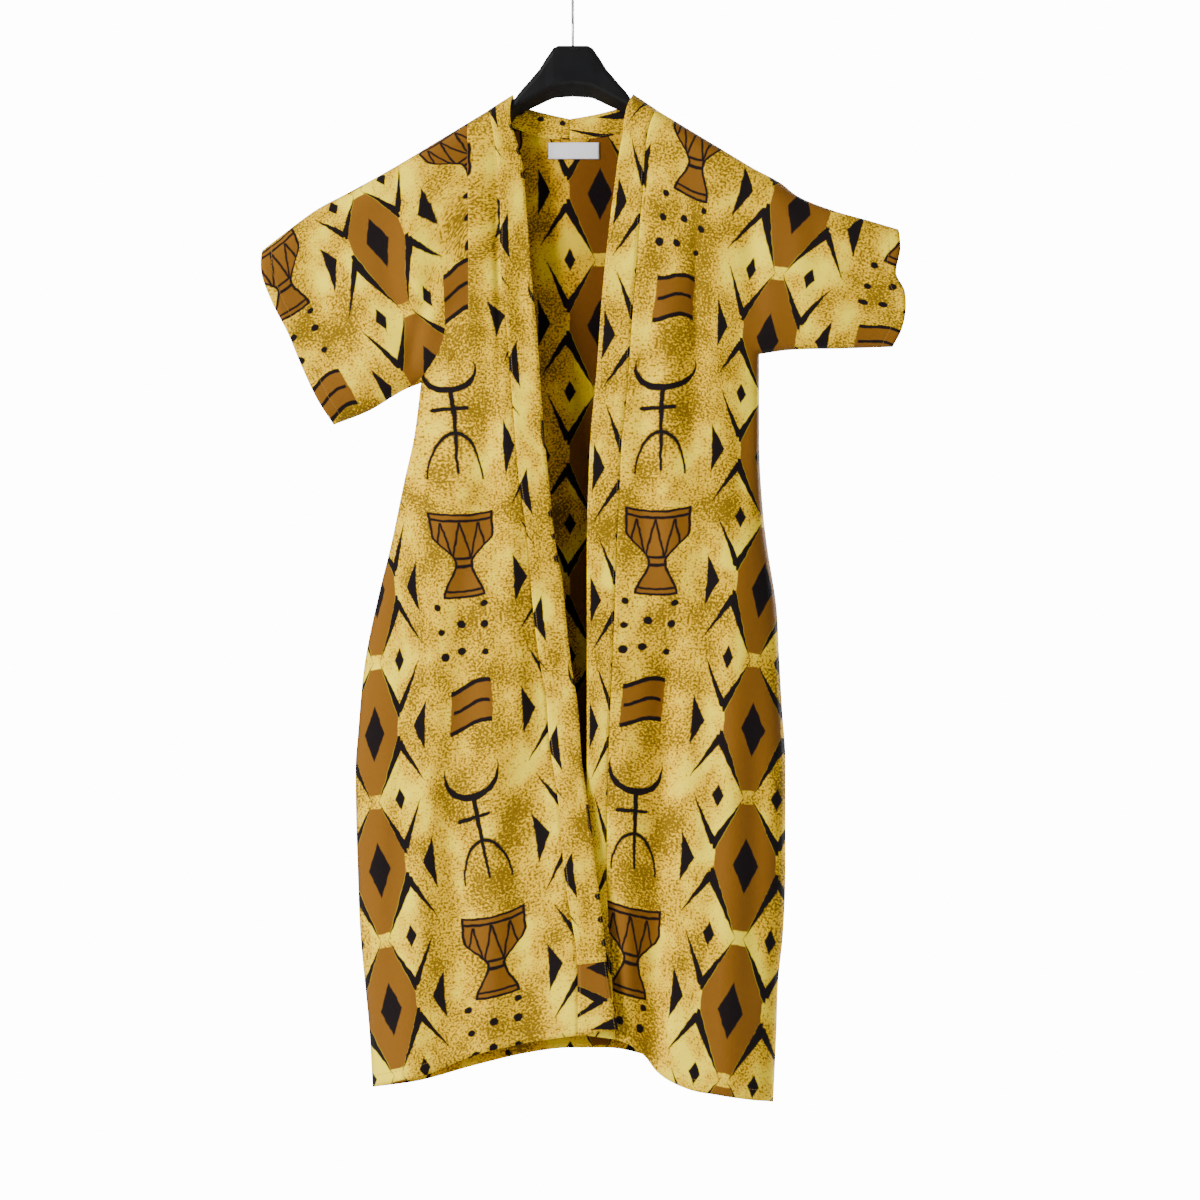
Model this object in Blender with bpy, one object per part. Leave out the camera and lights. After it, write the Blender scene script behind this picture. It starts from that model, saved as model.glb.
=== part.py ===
"""An open-front robe with cut-on short sleeves, hung on a moulded hanger with a wire hook.

Metres, +Z up, seen from the front along +Y. The origin is the hang point, the inner top of the hook. Left
and right are as seen from the front. Sizes in the tables are millimetres: x to the right of the hook, and
drop, the distance below the hang point. Outlines are given as they show from VIEW_DISTANCE in front.
"""

import math

import bmesh
import bpy
import numpy as np

MM = 0.001
VIEW_DISTANCE = 2400.0
VIEW_X = 33.0
VIEW_DROP = 747.0

PANEL_WALL = 1.2
BAND_WALL = 2.0
LABEL_WALL = 1.0
SEAM_GAP = 0.3
NECK_GAP = 0.6  # at seams that turn over the shoulder or round the neck

LABEL_X = (-30, 32)
LABEL_DROPS = (187, 208)

SHOULDER_DEPTH = 15.0  # how far cloth stands from the seam plane over the hanger's arms
SHOULDER_ROUND = 16.0  # distance below the shoulder seam over which it rounds out
SLEEVE_DEPTH = 15.0
SLEEVE_ROUND = 50.0
SIDE_ROUND = 75.0
ON_SEAM = 1.3  # points this near a seam's line are on it
SLEEVE_START = 190.0  # distance from the hook where the body starts to become sleeve
SLEEVE_REACH = 130.0  # and over which it does
LAP_LIFT = 7.0  # near the hem the left front comes this far forward, and the right one goes back
LAP_X = 30.0  # the middle of where the fronts lie over each other
LAP_DROPS = (820.0, 1060.0)  # where that begins and is full
SLEEVE_END_DROPS = (430.0, 620.0)  # below the sleeves, where their depth gives way to the body's
TIP_ZONE = (225.0, 300.0)  # past the hanger's tips, where the shoulder's round gives way to the sleeve's
DRAWN_IN = 120.0  # distance below the shoulder over which the draw for the view comes in

WIRE = 3.6
HOOK_RADIUS = 20.0
HOOK_ARC = (-62, 210)  # degrees round the ring, from the shank's bend to the tip
HOOK_STEPS = 15
HANGER_TIP = 218.0
ARM_CLEARANCE = 1.8  # from the shoulder seam down to the arm
BAND_CLEARANCE = 4.4  # the same under the thicker band

# x, drop: the shoulder and sleeve top, from the neck out to the cuff
SHOULDER_LEFT = [(-73, 132), (-218, 219.5), (-275, 251), (-311, 270), (-356, 303), (-379, 321)]
SHOULDER_RIGHT = [(73, 132), (218, 219.5), (254, 239), (273, 254), (317, 272), (356, 283), (397, 295)]
# x, drop: the cuff edge, from its top to its bottom
CUFF_LEFT = [(-379, 321), (-378, 350), (-365, 387), (-348, 421), (-331, 462), (-311, 504), (-292, 533)]
CUFF_RIGHT = [(397, 295), (398, 318), (393, 348), (404, 370), (406, 390), (401, 417), (390, 438)]
# x, drop: the sleeve's underside, from the cuff to the underarm
UNDERSIDE_LEFT = [(-292, 533), (-249, 516), (-205, 490), (-185, 482)]
UNDERSIDE_RIGHT = [(390, 438), (329, 440), (261, 442), (227, 447)]
# drop, x: the side seam, from the underarm to the hem
SIDE_LEFT = [(482, -185), (551, -194), (600, -205), (686, -223), (734, -235), (820, -253), (911, -262),
             (955, -265), (1083, -262), (1154, -259), (1198, -255), (1272, -248), (1341, -244)]
SIDE_RIGHT = [(447, 227), (551, 227), (643, 232), (684, 237), (755, 248), (811, 251), (881, 255),
              (942, 259), (1071, 259), (1154, 256), (1213, 250), (1272, 248), (1359, 244)]
# drop, x: the seam between front panel and band
BAND_SEAM_LEFT = [(142, -104), (198, -94), (259, -89), (320, -89), (381, -84), (442, -79), (515, -73),
                  (600, -66), (661, -57), (765, -48), (820, -41), (863, -33), (917, -29), (991, -18),
                  (1064, -12), (1113, -6), (1174, 4), (1279, 6)]
BAND_SEAM_RIGHT = [(142, 104), (173, 92), (198, 88), (234, 86), (290, 81), (344, 77), (417, 71), (490, 66),
                   (558, 59), (625, 56), (710, 52), (795, 49), (905, 44), (1039, 41), (1088, 41), (1150, 44),
                   (1215, 48), (1285, 52)]
# drop, x: the band's free edge
FREE_EDGE_LEFT = [(132, -73), (145, -75.5), (158, -76), (193, -67), (220, -60), (250, -58), (368, -49),
                  (417, -44), (503, -38), (564, -33), (625, -27), (686, -20), (722, -13), (783, -7),
                  (832, -1), (875, 6), (944, 11), (1011, 21), (1088, 30), (1161, 39), (1187, 41),
                  (1235, 48), (1275, 56)]
FREE_EDGE_RIGHT = [(132, 73), (142, 68), (158, 63), (176, 61), (210, 55), (253, 49), (301, 43), (381, 35),
                   (466, 29), (539, 22), (576, 20), (686, 17), (954, 17), (1064, 13), (1186, 13), (1278, 15)]
# x, drop: the hems, from side to side
HEM_LEFT = [(-244, 1341), (-187, 1329), (-118, 1302), (-54, 1287), (6, 1278), (56, 1271)]
HEM_RIGHT = [(15, 1278), (52, 1283), (73, 1292), (88, 1304), (102, 1322), (138, 1343), (176, 1351),
             (217, 1357), (244, 1359)]
HEM_BACK = [(-244, 1341), (-187, 1333), (-118, 1314), (-54, 1299), (0, 1293), (40, 1293), (88, 1302),
            (140, 1325), (200, 1350), (244, 1359)]
# x, drop: the seam between back panel and band, round the back neck
BACK_NECK = [(-104, 150.7), (-101.5, 154.5), (-97, 157.5), (-84, 163), (-63, 172), (-44, 179), (-4, 183),
             (42, 179), (63, 172), (84, 163), (97, 157.5), (101.5, 154.5), (104, 150.7)]
# x, drop: the band's top edge round the back neck, from the shoulder to the join at centre back
BACK_EDGE = [(73, 132), (72, 136.5), (70, 140), (64, 142), (55, 144), (44, 147), (24, 152), (-4, 157)]
BACK_EDGE_SHARES = [0.05, 0.1, 0.18, 0.32, 0.55, 0.78, 1]  # where the rows meet that edge
LEVEL_FROM = 235.0  # the drop from which the front band's rows run level
NECK_HALF = 104.0  # from the hook to the point where the band crosses the shoulder seam
NECK_STATIONS = [101.5, 97, 88, 72, 50, 26]  # the back's columns round the neck, each side
BACK_JOIN = -4.0  # x of the band's join at centre back

# drop, depth: how far the front and the back stand from the seam plane
BODY_DEPTH = [(130, SHOULDER_DEPTH), (230, 17), (480, 24), (800, 30), (1100, 34), (1360, 37)]

# Folds: x at the top and at the bottom, drop where it starts and ends, height towards the outside, and
# the widths of its left and right slopes
FOLDS_LEFT = [
    dict(top_x=-126, end_x=-124, start=150, end=520, height=9, left=4, right=34),
    dict(top_x=-98, end_x=-62, start=300, end=960, height=4, left=13, right=16),
    dict(top_x=-150, end_x=-205, start=560, end=1400, height=4, left=26, right=22),
    dict(top_x=-104, end_x=-96, start=640, end=1400, height=5, left=20, right=24),
]
FOLDS_RIGHT = [
    dict(top_x=151, end_x=146, start=290, end=600, height=-5, left=14, right=16),
    dict(top_x=118, end_x=94, start=780, end=1400, height=-7, left=20, right=16),
    dict(top_x=196, end_x=190, start=520, end=1400, height=4, left=22, right=24),
    dict(top_x=112, end_x=118, start=330, end=760, height=4, left=16, right=20),
]
FOLDS_BACK = [
    dict(top_x=-140, end_x=-165, start=300, end=1400, height=5, left=24, right=26),
    dict(top_x=-48, end_x=-70, start=420, end=1400, height=-5, left=22, right=26),
    dict(top_x=52, end_x=40, start=350, end=1400, height=5, left=28, right=22),
    dict(top_x=140, end_x=160, start=260, end=1400, height=-5, left=26, right=24),
]

SLEEVE_COLUMNS = 9
BODY_SHARES = [0, 0.03, 0.09, 0.18, 0.28, 0.38, 0.48, 0.58, 0.68, 0.78, 0.9, 1]
UPPER_SHARES = [0, 0.014, 0.045, 0.1, 0.2, 0.32, 0.45, 0.6, 0.76, 0.9, 1]
LOWER_ROWS = 19
# x of the back's columns at the shoulder, outside the neck. The first and last are above the underarms.
BACK_SIDE_STATIONS = [(-176, -171, -163, -150, -128), (128, 153, 178, 193, 201, 206)]
BAND_COLUMNS = 3
STRAIGHT_FROM = 4  # the row below the shoulder from which the band seam is cut straight along Y
JOIN_ROW = 2  # the pieced end of the left band is this many rows long, counted from the hem


def through(rows):
    """A smooth curve through rows of (place, value), as a function of place."""
    place, value = np.array(sorted(rows), float).T
    slope = np.diff(value) / np.diff(place)
    tangent = np.concatenate([slope[:1], (slope[:-1] + slope[1:]) / 2, slope[-1:]])
    flat = np.concatenate([[False], slope[:-1] * slope[1:] <= 0, [False]])
    tangent[flat] = 0

    def read(at):
        at = np.asarray(at, float)
        i = np.clip(np.searchsorted(place, at) - 1, 0, len(slope) - 1)
        step = place[i + 1] - place[i]
        t = np.clip((at - place[i]) / step, 0, 1)
        rise = value[i + 1] - value[i]
        a = step * tangent[i] - rise
        b = rise - step * tangent[i + 1]
        return value[i] + rise * t + t * (1 - t) * (a * (1 - t) + b * t)

    return read


def along(points, share):
    """Points at shares of the length of a smooth line through points."""
    points = np.array(points, float)
    length = np.concatenate([[0], np.cumsum(np.hypot(*np.diff(points, axis=0).T))])
    at = np.asarray(share, float) * length[-1]
    columns = [through(list(zip(length, points[:, k])))(at) for k in (0, 1)]
    return np.stack(columns, axis=-1)


def distance_to(points, line):
    """Distance in the front view from each point to a line of points, 0 for what is sewn along it."""
    line = np.array(line, float)
    nearest = np.full(points.shape[:-1], np.inf)
    for start, end in zip(line[:-1], line[1:]):
        run = end - start
        t = np.clip(((points - start) @ run) / (run @ run), 0, 1)
        nearest = np.minimum(nearest, np.linalg.norm(points - start - t[..., None] * run, axis=-1))
    return np.maximum(nearest - ON_SEAM, 0)


def rounded(distance, reach):
    """A quarter round from 0 at an edge to 1 at its reach."""
    t = np.clip(distance / reach, 0, 1)
    return np.sqrt(1 - (1 - t) ** 2)


def eased(value, start, end):
    t = np.clip((value - start) / (end - start), 0, 1)
    return t * t * (3 - 2 * t)


def fold_height(x, drop, folds):
    height = np.zeros_like(x)
    for fold in folds:
        share = np.clip((drop - fold["start"]) / (fold["end"] - fold["start"]), 0, 1)
        off = x - (fold["top_x"] + share * (fold["end_x"] - fold["top_x"]))
        width = np.where(off < 0, fold["left"], fold["right"])
        fade = min(90, 0.3 * (fold["end"] - fold["start"]))
        shown = eased(drop, fold["start"], fold["start"] + fade)
        shown = shown * (1 - eased(drop, fold["end"] - fade, fold["end"]))
        height += fold["height"] * shown * np.exp(-((off / width) ** 2))
    return height


def lower_line(side):
    """The sleeve's underside and the side seam as one line from cuff to hem."""
    under, seam = (UNDERSIDE_LEFT, SIDE_LEFT) if side < 0 else (UNDERSIDE_RIGHT, SIDE_RIGHT)
    return under + [(x, drop) for drop, x in seam[1:]] + [(seam[-1][1], seam[-1][0] + 60)]


def upper_line():
    """Both shoulders as one line from cuff to cuff, straight across the neck."""
    return SHOULDER_LEFT[::-1] + SHOULDER_RIGHT


def stand_off(points, layer, folds):
    """How far points of the front (layer -1) or back (layer 1) stand from the seam plane."""
    x, drop = points[..., 0], points[..., 1]
    below = distance_to(points, upper_line())
    beside = np.minimum(distance_to(points, lower_line(-1)), distance_to(points, lower_line(1)))
    body = through(BODY_DEPTH)(drop)
    outside = eased(np.abs(x), SLEEVE_START, SLEEVE_START + SLEEVE_REACH)
    outside = outside * (1 - eased(drop, *SLEEVE_END_DROPS))
    depth = body + (SLEEVE_DEPTH - body) * outside
    top_reach = SHOULDER_ROUND + (SLEEVE_ROUND - SHOULDER_ROUND) * eased(np.abs(x), *TIP_ZONE)
    side_reach = SIDE_ROUND + (SLEEVE_ROUND - SIDE_ROUND) * outside
    off = depth * rounded(below, top_reach) * rounded(beside, side_reach)
    free = rounded(below, 40) * rounded(beside, 30)
    off = off + fold_height(x, drop, folds) * free
    if layer < 0:
        near_edge = 1 - eased(np.abs(x - LAP_X), LAP_X, LAP_X + 50)
        sign = 1 if folds is FOLDS_LEFT else -1
        off = off + sign * LAP_LIFT * eased(drop, *LAP_DROPS) * near_edge
    return off


def placed(points, layer, folds, inward=0.0):
    """Points of the front view, in millimetres, set at their depth and drawn in for the view."""
    if layer == 0:
        y = np.zeros(points.shape[:-1])
    else:
        y = layer * (stand_off(points, layer, folds) + SEAM_GAP / 2 + PANEL_WALL / 2 - inward)
    drawn = eased(distance_to(points, upper_line()), 0, DRAWN_IN)
    near = 1 + y * drawn / VIEW_DISTANCE
    x = VIEW_X + (points[..., 0] - VIEW_X) * near
    z = -VIEW_DROP - (points[..., 1] - VIEW_DROP) * near
    return np.stack([x, y, z], axis=-1)


def sleeve_patch(side, columns, shares):
    """Front-view points of one sleeve, columns from cuff to armhole line, rows from top to underside."""
    left = side < 0
    shoulder = SHOULDER_LEFT if left else SHOULDER_RIGHT
    cuff = CUFF_LEFT if left else CUFF_RIGHT
    under = UNDERSIDE_LEFT if left else UNDERSIDE_RIGHT
    top_line = [armhole_top(side)] + [p for p in shoulder if abs(p[0]) > abs(armhole_top(side)[0])]
    u = np.linspace(0, 1, columns + 1)
    v = np.array(shares)
    top = along(top_line[::-1], u)
    bottom = along(under, u)
    outer = along(cuff, v)
    inner = armhole(side, v)
    u, v = u[:, None, None], v[None, :, None]
    corners = (1 - v) * ((1 - u) * top[0] + u * top[-1])
    corners = corners + v * ((1 - u) * bottom[0] + u * bottom[-1])
    return (1 - v) * top[:, None] + v * bottom[:, None] + (1 - u) * outer + u * inner - corners


def armhole_top(side):
    """The shoulder point above the underarm, where the sleeve is cut on."""
    x = BACK_SIDE_STATIONS[0][0] if side < 0 else BACK_SIDE_STATIONS[1][-1]
    return x, float(shoulder_drop(x))


def armhole(side, share):
    """The line from shoulder to underarm at shares of its length."""
    end = UNDERSIDE_LEFT[-1] if side < 0 else UNDERSIDE_RIGHT[-1]
    share = np.asarray(share, float)[..., None]
    return np.array(armhole_top(side)) * (1 - share) + np.array(end, float) * share


def shoulder_drop(x):
    """The shoulder seam over the hanger, the same straight slope on both sides."""
    start, end = SHOULDER_RIGHT[0], SHOULDER_RIGHT[1]
    return start[1] + (np.abs(x) - start[0]) * (end[1] - start[1]) / (end[0] - start[0])


def armhole_x(side, drop):
    """The armhole line's x at a drop."""
    top, end = armhole(side, 0), armhole(side, 1)
    return top[0] + (end[0] - top[0]) * (drop - top[1]) / (end[1] - top[1])


def front_body(side, body_shares, upper_shares, lower_rows):
    """Front-view points of a front's upper and lower body, columns from the side to the band seam."""
    seam = through(BAND_SEAM_LEFT if side < 0 else BAND_SEAM_RIGHT)
    hem = through(HEM_LEFT if side < 0 else HEM_RIGHT)
    edge = through(SIDE_LEFT if side < 0 else SIDE_RIGHT)
    gap = -side * SEAM_GAP / 2
    s = np.array(body_shares, float)
    under = armhole(side, 1)
    chest = np.full(len(s), under[1])

    def across(drop, outer):
        return outer(drop) * (1 - s) + (seam(drop) - gap) * s

    top = np.full(len(s), 160.0)
    for _ in range(6):
        top = shoulder_drop(across(top, lambda d: armhole_x(side, d)))
    upper = []
    for v in upper_shares:
        drop = top * (1 - v) + chest * v
        upper.append(np.stack([across(drop, lambda d: armhole_x(side, d)), drop], axis=-1))
    low = np.full(len(s), 1300.0)
    for _ in range(12):
        low = hem(across(low, edge))
    lower = []
    for v in np.linspace(0, 1, lower_rows + 1):
        drop = chest * (1 - v) + low * v
        lower.append(np.stack([across(drop, edge), drop], axis=-1))
    return np.array(upper).transpose(1, 0, 2), np.array(lower).transpose(1, 0, 2)


def back_stations():
    """Top x of the back body's columns, from the left armhole to the right one."""
    left, right = BACK_SIDE_STATIONS
    neck = [NECK_HALF] + NECK_STATIONS
    return np.array([*left, *[-x for x in neck], BACK_JOIN, *neck[::-1], *right], float)


def back_body(upper_shares, lower_rows):
    """Front-view points of the back's upper and lower body, columns from left to right."""
    neck = through(BACK_NECK)
    hem = through(HEM_BACK)
    edges = through(SIDE_LEFT), through(SIDE_RIGHT)
    top_x = back_stations()
    s = (top_x - top_x[0]) / (top_x[-1] - top_x[0])
    chest = armhole(-1, 1)[1] * (1 - s) + armhole(1, 1)[1] * s
    top = np.where(np.abs(top_x) < NECK_HALF, neck(top_x), shoulder_drop(top_x))
    chest_x = armhole(-1, 1)[0] * (1 - s) + armhole(1, 1)[0] * s
    upper = []
    for v in upper_shares:
        upper.append(np.stack([top_x * (1 - v) + chest_x * v, top * (1 - v) + chest * v], axis=-1))
    low = np.full(len(s), 1300.0)
    for _ in range(12):
        low = hem(edges[0](low) * (1 - s) + edges[1](low) * s)
    lower = []
    for v in np.linspace(0, 1, lower_rows + 1):
        drop = chest * (1 - v) + low * v
        lower.append(np.stack([edges[0](drop) * (1 - s) + edges[1](drop) * s, drop], axis=-1))
    return np.array(upper).transpose(1, 0, 2), np.array(lower).transpose(1, 0, 2)


def grid_faces(index):
    """Quads of a grid of point numbers."""
    a, b = index[:-1, :-1].ravel(), index[1:, :-1].ravel()
    c, d = index[1:, 1:].ravel(), index[:-1, 1:].ravel()
    return np.stack([a, b, c, d], axis=1)


def point_normals(points, faces):
    diagonal = np.cross(points[faces[:, 2]] - points[faces[:, 0]], points[faces[:, 3]] - points[faces[:, 1]])
    normals = np.zeros_like(points)
    for corner in range(4):
        np.add.at(normals, faces[:, corner], diagonal)
    return normals / np.linalg.norm(normals, axis=1)[:, None]


def wall(name, points, faces, outward, thickness, colour, sewn=()):
    """A closed wall of cloth on a sheet of points, with its sewn points' thickness straight along Y."""
    normals = point_normals(points, faces)
    if normals[:, 1].sum() * outward < 0:
        faces = faces[:, ::-1]
        normals = -normals
    if len(sewn):
        normals[list(sewn)] = (0, outward, 0)
    outer = points + normals * thickness / 2
    inner = points - normals * thickness / 2
    count = len(points)
    ends = np.concatenate([faces[:, [k, (k + 1) % 4]] for k in range(4)])
    there = {tuple(pair) for pair in ends}
    rim = [(b, a, a + count, b + count) for a, b in ends if (b, a) not in there]
    quads = [tuple(f) for f in faces] + [tuple(f[::-1] + count) for f in faces] + rim
    return solid(name, np.concatenate([outer, inner]) * MM, quads, colour, 0.9, 0.0)


def solid(name, points, faces, colour, roughness, metallic):
    mesh = bpy.data.meshes.new(name)
    mesh.from_pydata([tuple(p) for p in points], [], [tuple(int(k) for k in f) for f in faces])
    mesh.update()
    obj = bpy.data.objects.new(name, mesh)
    bpy.context.scene.collection.objects.link(obj)
    mesh.shade_smooth()
    mesh.set_sharp_from_angle(angle=math.radians(40))
    mesh.materials.append(material(name, colour, roughness, metallic))
    return obj


def material(name, colour, roughness, metallic):
    made = bpy.data.materials.new(name)
    made.use_nodes = True
    shader = made.node_tree.nodes["Principled BSDF"]
    shader.inputs["Base Color"].default_value = (*colour, 1)
    shader.inputs["Roughness"].default_value = roughness
    shader.inputs["Metallic"].default_value = metallic
    return made


def front_panel(name, side, folds, colour):
    sleeve = sleeve_patch(side, SLEEVE_COLUMNS, UPPER_SHARES)
    upper, lower = front_body(side, BODY_SHARES, UPPER_SHARES, LOWER_ROWS)
    across = np.concatenate([sleeve, upper[1:]])
    columns, rows = across.shape[:2]
    index = np.arange(columns * rows).reshape(columns, rows)
    below = columns * rows + np.arange(lower[:, 1:].shape[0] * LOWER_ROWS).reshape(-1, LOWER_ROWS)
    low_index = np.concatenate([index[SLEEVE_COLUMNS:, -1:], below], axis=1)
    points = np.concatenate([across.reshape(-1, 2), lower[:, 1:].reshape(-1, 2)])
    faces = np.concatenate([grid_faces(index), grid_faces(low_index)])
    sewn = set(index[:, 0]) | set(index[: SLEEVE_COLUMNS + 1, -1]) | set(low_index[0])
    sewn |= set(index[-1, STRAIGHT_FROM:]) | set(low_index[-1])
    return wall(name, placed(points, -1, folds), faces, -1, PANEL_WALL, colour, sewn)


def back_panel(colour):
    left = sleeve_patch(-1, SLEEVE_COLUMNS, UPPER_SHARES)
    right = sleeve_patch(1, SLEEVE_COLUMNS, UPPER_SHARES)[::-1]
    upper, lower = back_body(UPPER_SHARES, LOWER_ROWS)
    across = np.concatenate([left, upper[1:-1], right])
    columns, rows = across.shape[:2]
    index = np.arange(columns * rows).reshape(columns, rows)
    below = columns * rows + np.arange(lower.shape[0] * LOWER_ROWS).reshape(-1, LOWER_ROWS)
    low_index = np.concatenate([index[SLEEVE_COLUMNS:-SLEEVE_COLUMNS, -1:], below], axis=1)
    points = np.concatenate([across.reshape(-1, 2), lower[:, 1:].reshape(-1, 2)])
    faces = np.concatenate([grid_faces(index), grid_faces(low_index)])
    on_neck = np.abs(across[:, 0, 0]) < NECK_HALF
    under = list(range(SLEEVE_COLUMNS + 1)) + list(range(columns - SLEEVE_COLUMNS - 1, columns))
    sewn = set(index[~on_neck, 0]) | set(index[under, -1]) | set(low_index[0]) | set(low_index[-1])
    return wall("back_panel", placed(points, 1, FOLDS_BACK), faces, 1, PANEL_WALL, colour, sewn)


def band_front(side):
    """Front-view rows of a front band from the hem to the shoulder, each from the seam to the free edge."""
    upper, lower = front_body(side, BODY_SHARES, UPPER_SHARES, LOWER_ROWS)
    seam = np.concatenate([upper[-1, :-1], lower[-1]])[::-1]
    seam[:, 0] -= side * SEAM_GAP
    seam[-STRAIGHT_FROM:, 0] -= side * (NECK_GAP - SEAM_GAP)
    edge = through(FREE_EDGE_LEFT if side < 0 else FREE_EDGE_RIGHT)
    hem = through(HEM_LEFT if side < 0 else HEM_RIGHT)
    seam_drop = seam[:, 1]
    hem_rise = hem(edge(seam_drop[0])) - seam_drop[0]
    drop = seam_drop + hem_rise * eased(seam_drop, LAP_DROPS[1], seam_drop[0])
    rise = shoulder_drop(NECK_HALF) - SHOULDER_RIGHT[0][1]
    drop = drop - rise * (1 - eased(seam_drop, shoulder_drop(NECK_HALF), LEVEL_FROM))
    free = np.stack([edge(drop), drop], axis=-1)
    s = np.linspace(0, 1, BAND_COLUMNS + 1)[:, None]
    return seam[:, None] * (1 - s) + free[:, None] * s


def band_back(side):
    """Front-view rows of a band round the back neck, from just behind the shoulder to centre back."""
    x = np.array([side * k for k in NECK_STATIONS] + [BACK_JOIN + side * SEAM_GAP / 2])
    seam = np.stack([x, through(BACK_NECK)(x) - NECK_GAP], axis=-1)
    if side < 0:
        outline = [(-k, drop) for k, drop in BACK_EDGE[:-1]] + [BACK_EDGE[-1]]
    else:
        outline = BACK_EDGE
    free = along(outline, BACK_EDGE_SHARES)
    free[-1, 0] = x[-1]
    s = np.linspace(0, 1, BAND_COLUMNS + 1)[:, None]
    return seam[:, None] * (1 - s) + free[:, None] * s


def band_wall(name, rows, colour, straight):
    """A wall on rows of the band, whose seam edge is cut straight along Y on this many rows from the hem."""
    index = np.arange(rows.shape[0] * rows.shape[1]).reshape(rows.shape[:2])
    return wall(name, rows.reshape(-1, 3), grid_faces(index), -1, BAND_WALL, colour, index[:straight, 0])


def band(name, side, folds, colour, skip):
    """One half of the band, without its lowest rows where a pieced end takes their place."""
    front = band_front(side)[skip:]
    if skip:
        front[0, :, 1] -= SEAM_GAP
    rows = [placed(row, -1, folds) for row in front[:-1]]
    rows.append(placed(front[-1], 0, folds))
    rows += [placed(row, 1, FOLDS_BACK) for row in band_back(side)]
    return band_wall(name, np.array(rows), colour, len(front) - STRAIGHT_FROM)


def band_end(colour):
    """The pieced end of the left band at the hem, below the join."""
    rows = [placed(row, -1, FOLDS_LEFT) for row in band_front(-1)[: JOIN_ROW + 1]]
    return band_wall("band_end_left", np.array(rows), colour, len(rows))


def label(colour):
    """The bare woven label, on the inside of the back panel just under the neck seam."""
    x = np.linspace(*LABEL_X, 9)
    drop = np.linspace(*LABEL_DROPS, 4)
    points = np.stack(np.meshgrid(x, drop, indexing="ij"), axis=-1).reshape(-1, 2)
    index = np.arange(len(points)).reshape(len(x), len(drop))
    points = placed(points, 1, FOLDS_BACK, PANEL_WALL / 2 + SEAM_GAP + LABEL_WALL / 2)
    return wall("neck_label", points, grid_faces(index), -1, LABEL_WALL, colour)


# x, top, bottom in front, bottom at the back, half depth: the hanger's right half in section
HANGER_SECTIONS = [
    (0, 71, 118, 131, 11),
    (18, 71, 120, 132, 11),
    (24, 74, 121.5, 133, 11),
    (33, 87, 126, 137, 10.5),
    (41, 100, 130, 141, 10.5),
    (54, 115, 137, 147, 10),
    (65, 127.5, 143, 152, 9.5),
    (70.5, 135.2, 148, 157, 9.5),
]
ARM_HEIGHT = 30.0
ARM_HALF_DEPTH = 9.5
ARM_STEPS = 5


def hanger_rows():
    """Sections from the middle to the tip of one arm."""
    rows = [list(row) for row in HANGER_SECTIONS]
    for x in np.linspace(78, HANGER_TIP - 10, ARM_STEPS):
        clear = BAND_CLEARANCE + (ARM_CLEARANCE - BAND_CLEARANCE) * eased(x, NECK_HALF + 1, NECK_HALF + 10)
        top = float(shoulder_drop(x) + clear)
        rows.append([x, top, top + ARM_HEIGHT - 8, top + ARM_HEIGHT, ARM_HALF_DEPTH])
    top = float(shoulder_drop(HANGER_TIP - 3)) + ARM_CLEARANCE + 1.5
    rows.append([HANGER_TIP - 3, top, top + ARM_HEIGHT - 10, top + ARM_HEIGHT - 6, ARM_HALF_DEPTH - 3])
    return rows


def hanger_section(row, side):
    """Points round one section, over the top and back underneath."""
    x, top, front, back, half = row
    x = side * x
    points = []
    for step in range(9):
        angle = math.pi * step / 8
        y = -half * math.cos(angle)
        points.append((x, y, -(top + half * (1 - math.sin(angle)))))
    points.append((x, half, -(back - 3)))
    points.append((x, half - 2.5, -back))
    points.append((x, -half + 2.5, -(front + 1)))
    points.append((x, -half, -(front - 2)))
    return points


def hanger(colour):
    rows = hanger_rows()
    sections = [hanger_section(row, -1) for row in rows[:0:-1]] + [hanger_section(row, 1) for row in rows]
    points = np.array(sections).reshape(-1, 3) * MM
    size = len(sections[0])
    faces = []
    for k in range(len(sections) - 1):
        for i in range(size):
            j = (i + 1) % size
            faces.append((k * size + i, (k + 1) * size + i, (k + 1) * size + j, k * size + j))
    last = (len(sections) - 1) * size
    faces.append(tuple(range(size)))
    faces.append(tuple(last + i for i in range(size))[::-1])
    made = solid("hanger", points, faces, colour, 0.42, 0.0)
    made_mesh = bmesh.new()
    made_mesh.from_mesh(made.data)
    bmesh.ops.triangulate(made_mesh, faces=[f for f in made_mesh.faces if len(f.verts) > 4])
    bmesh.ops.recalc_face_normals(made_mesh, faces=made_mesh.faces)
    made_mesh.to_mesh(made.data)
    made_mesh.free()
    return made


def hook(colour):
    """A wire hook turned edge-on to the front: a shank, a bend, and most of a ring to a free tip."""
    radius = HOOK_RADIUS + WIRE / 2
    centre = WIRE / 2 - radius
    foot = HANGER_SECTIONS[0][1] - SEAM_GAP
    points = [(0, -foot), (0, -foot + 12), (0, centre - radius - 2)]
    for angle in np.radians(np.linspace(*HOOK_ARC, HOOK_STEPS)):
        points.append((-radius * math.cos(angle), centre + radius * math.sin(angle)))
    curve = bpy.data.curves.new("hook", "CURVE")
    curve.dimensions = "3D"
    curve.bevel_depth = WIRE / 2 * MM
    curve.bevel_resolution = 3
    curve.use_fill_caps = True
    spline = curve.splines.new("POLY")
    spline.points.add(len(points) - 1)
    for number, (y, z) in enumerate(points):
        spline.points[number].co = (0, y * MM, z * MM, 1)
    made = bpy.data.objects.new("hook", curve)
    bpy.context.scene.collection.objects.link(made)
    curve.materials.append(material("hook", colour, 0.3, 1.0))
    return made


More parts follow.
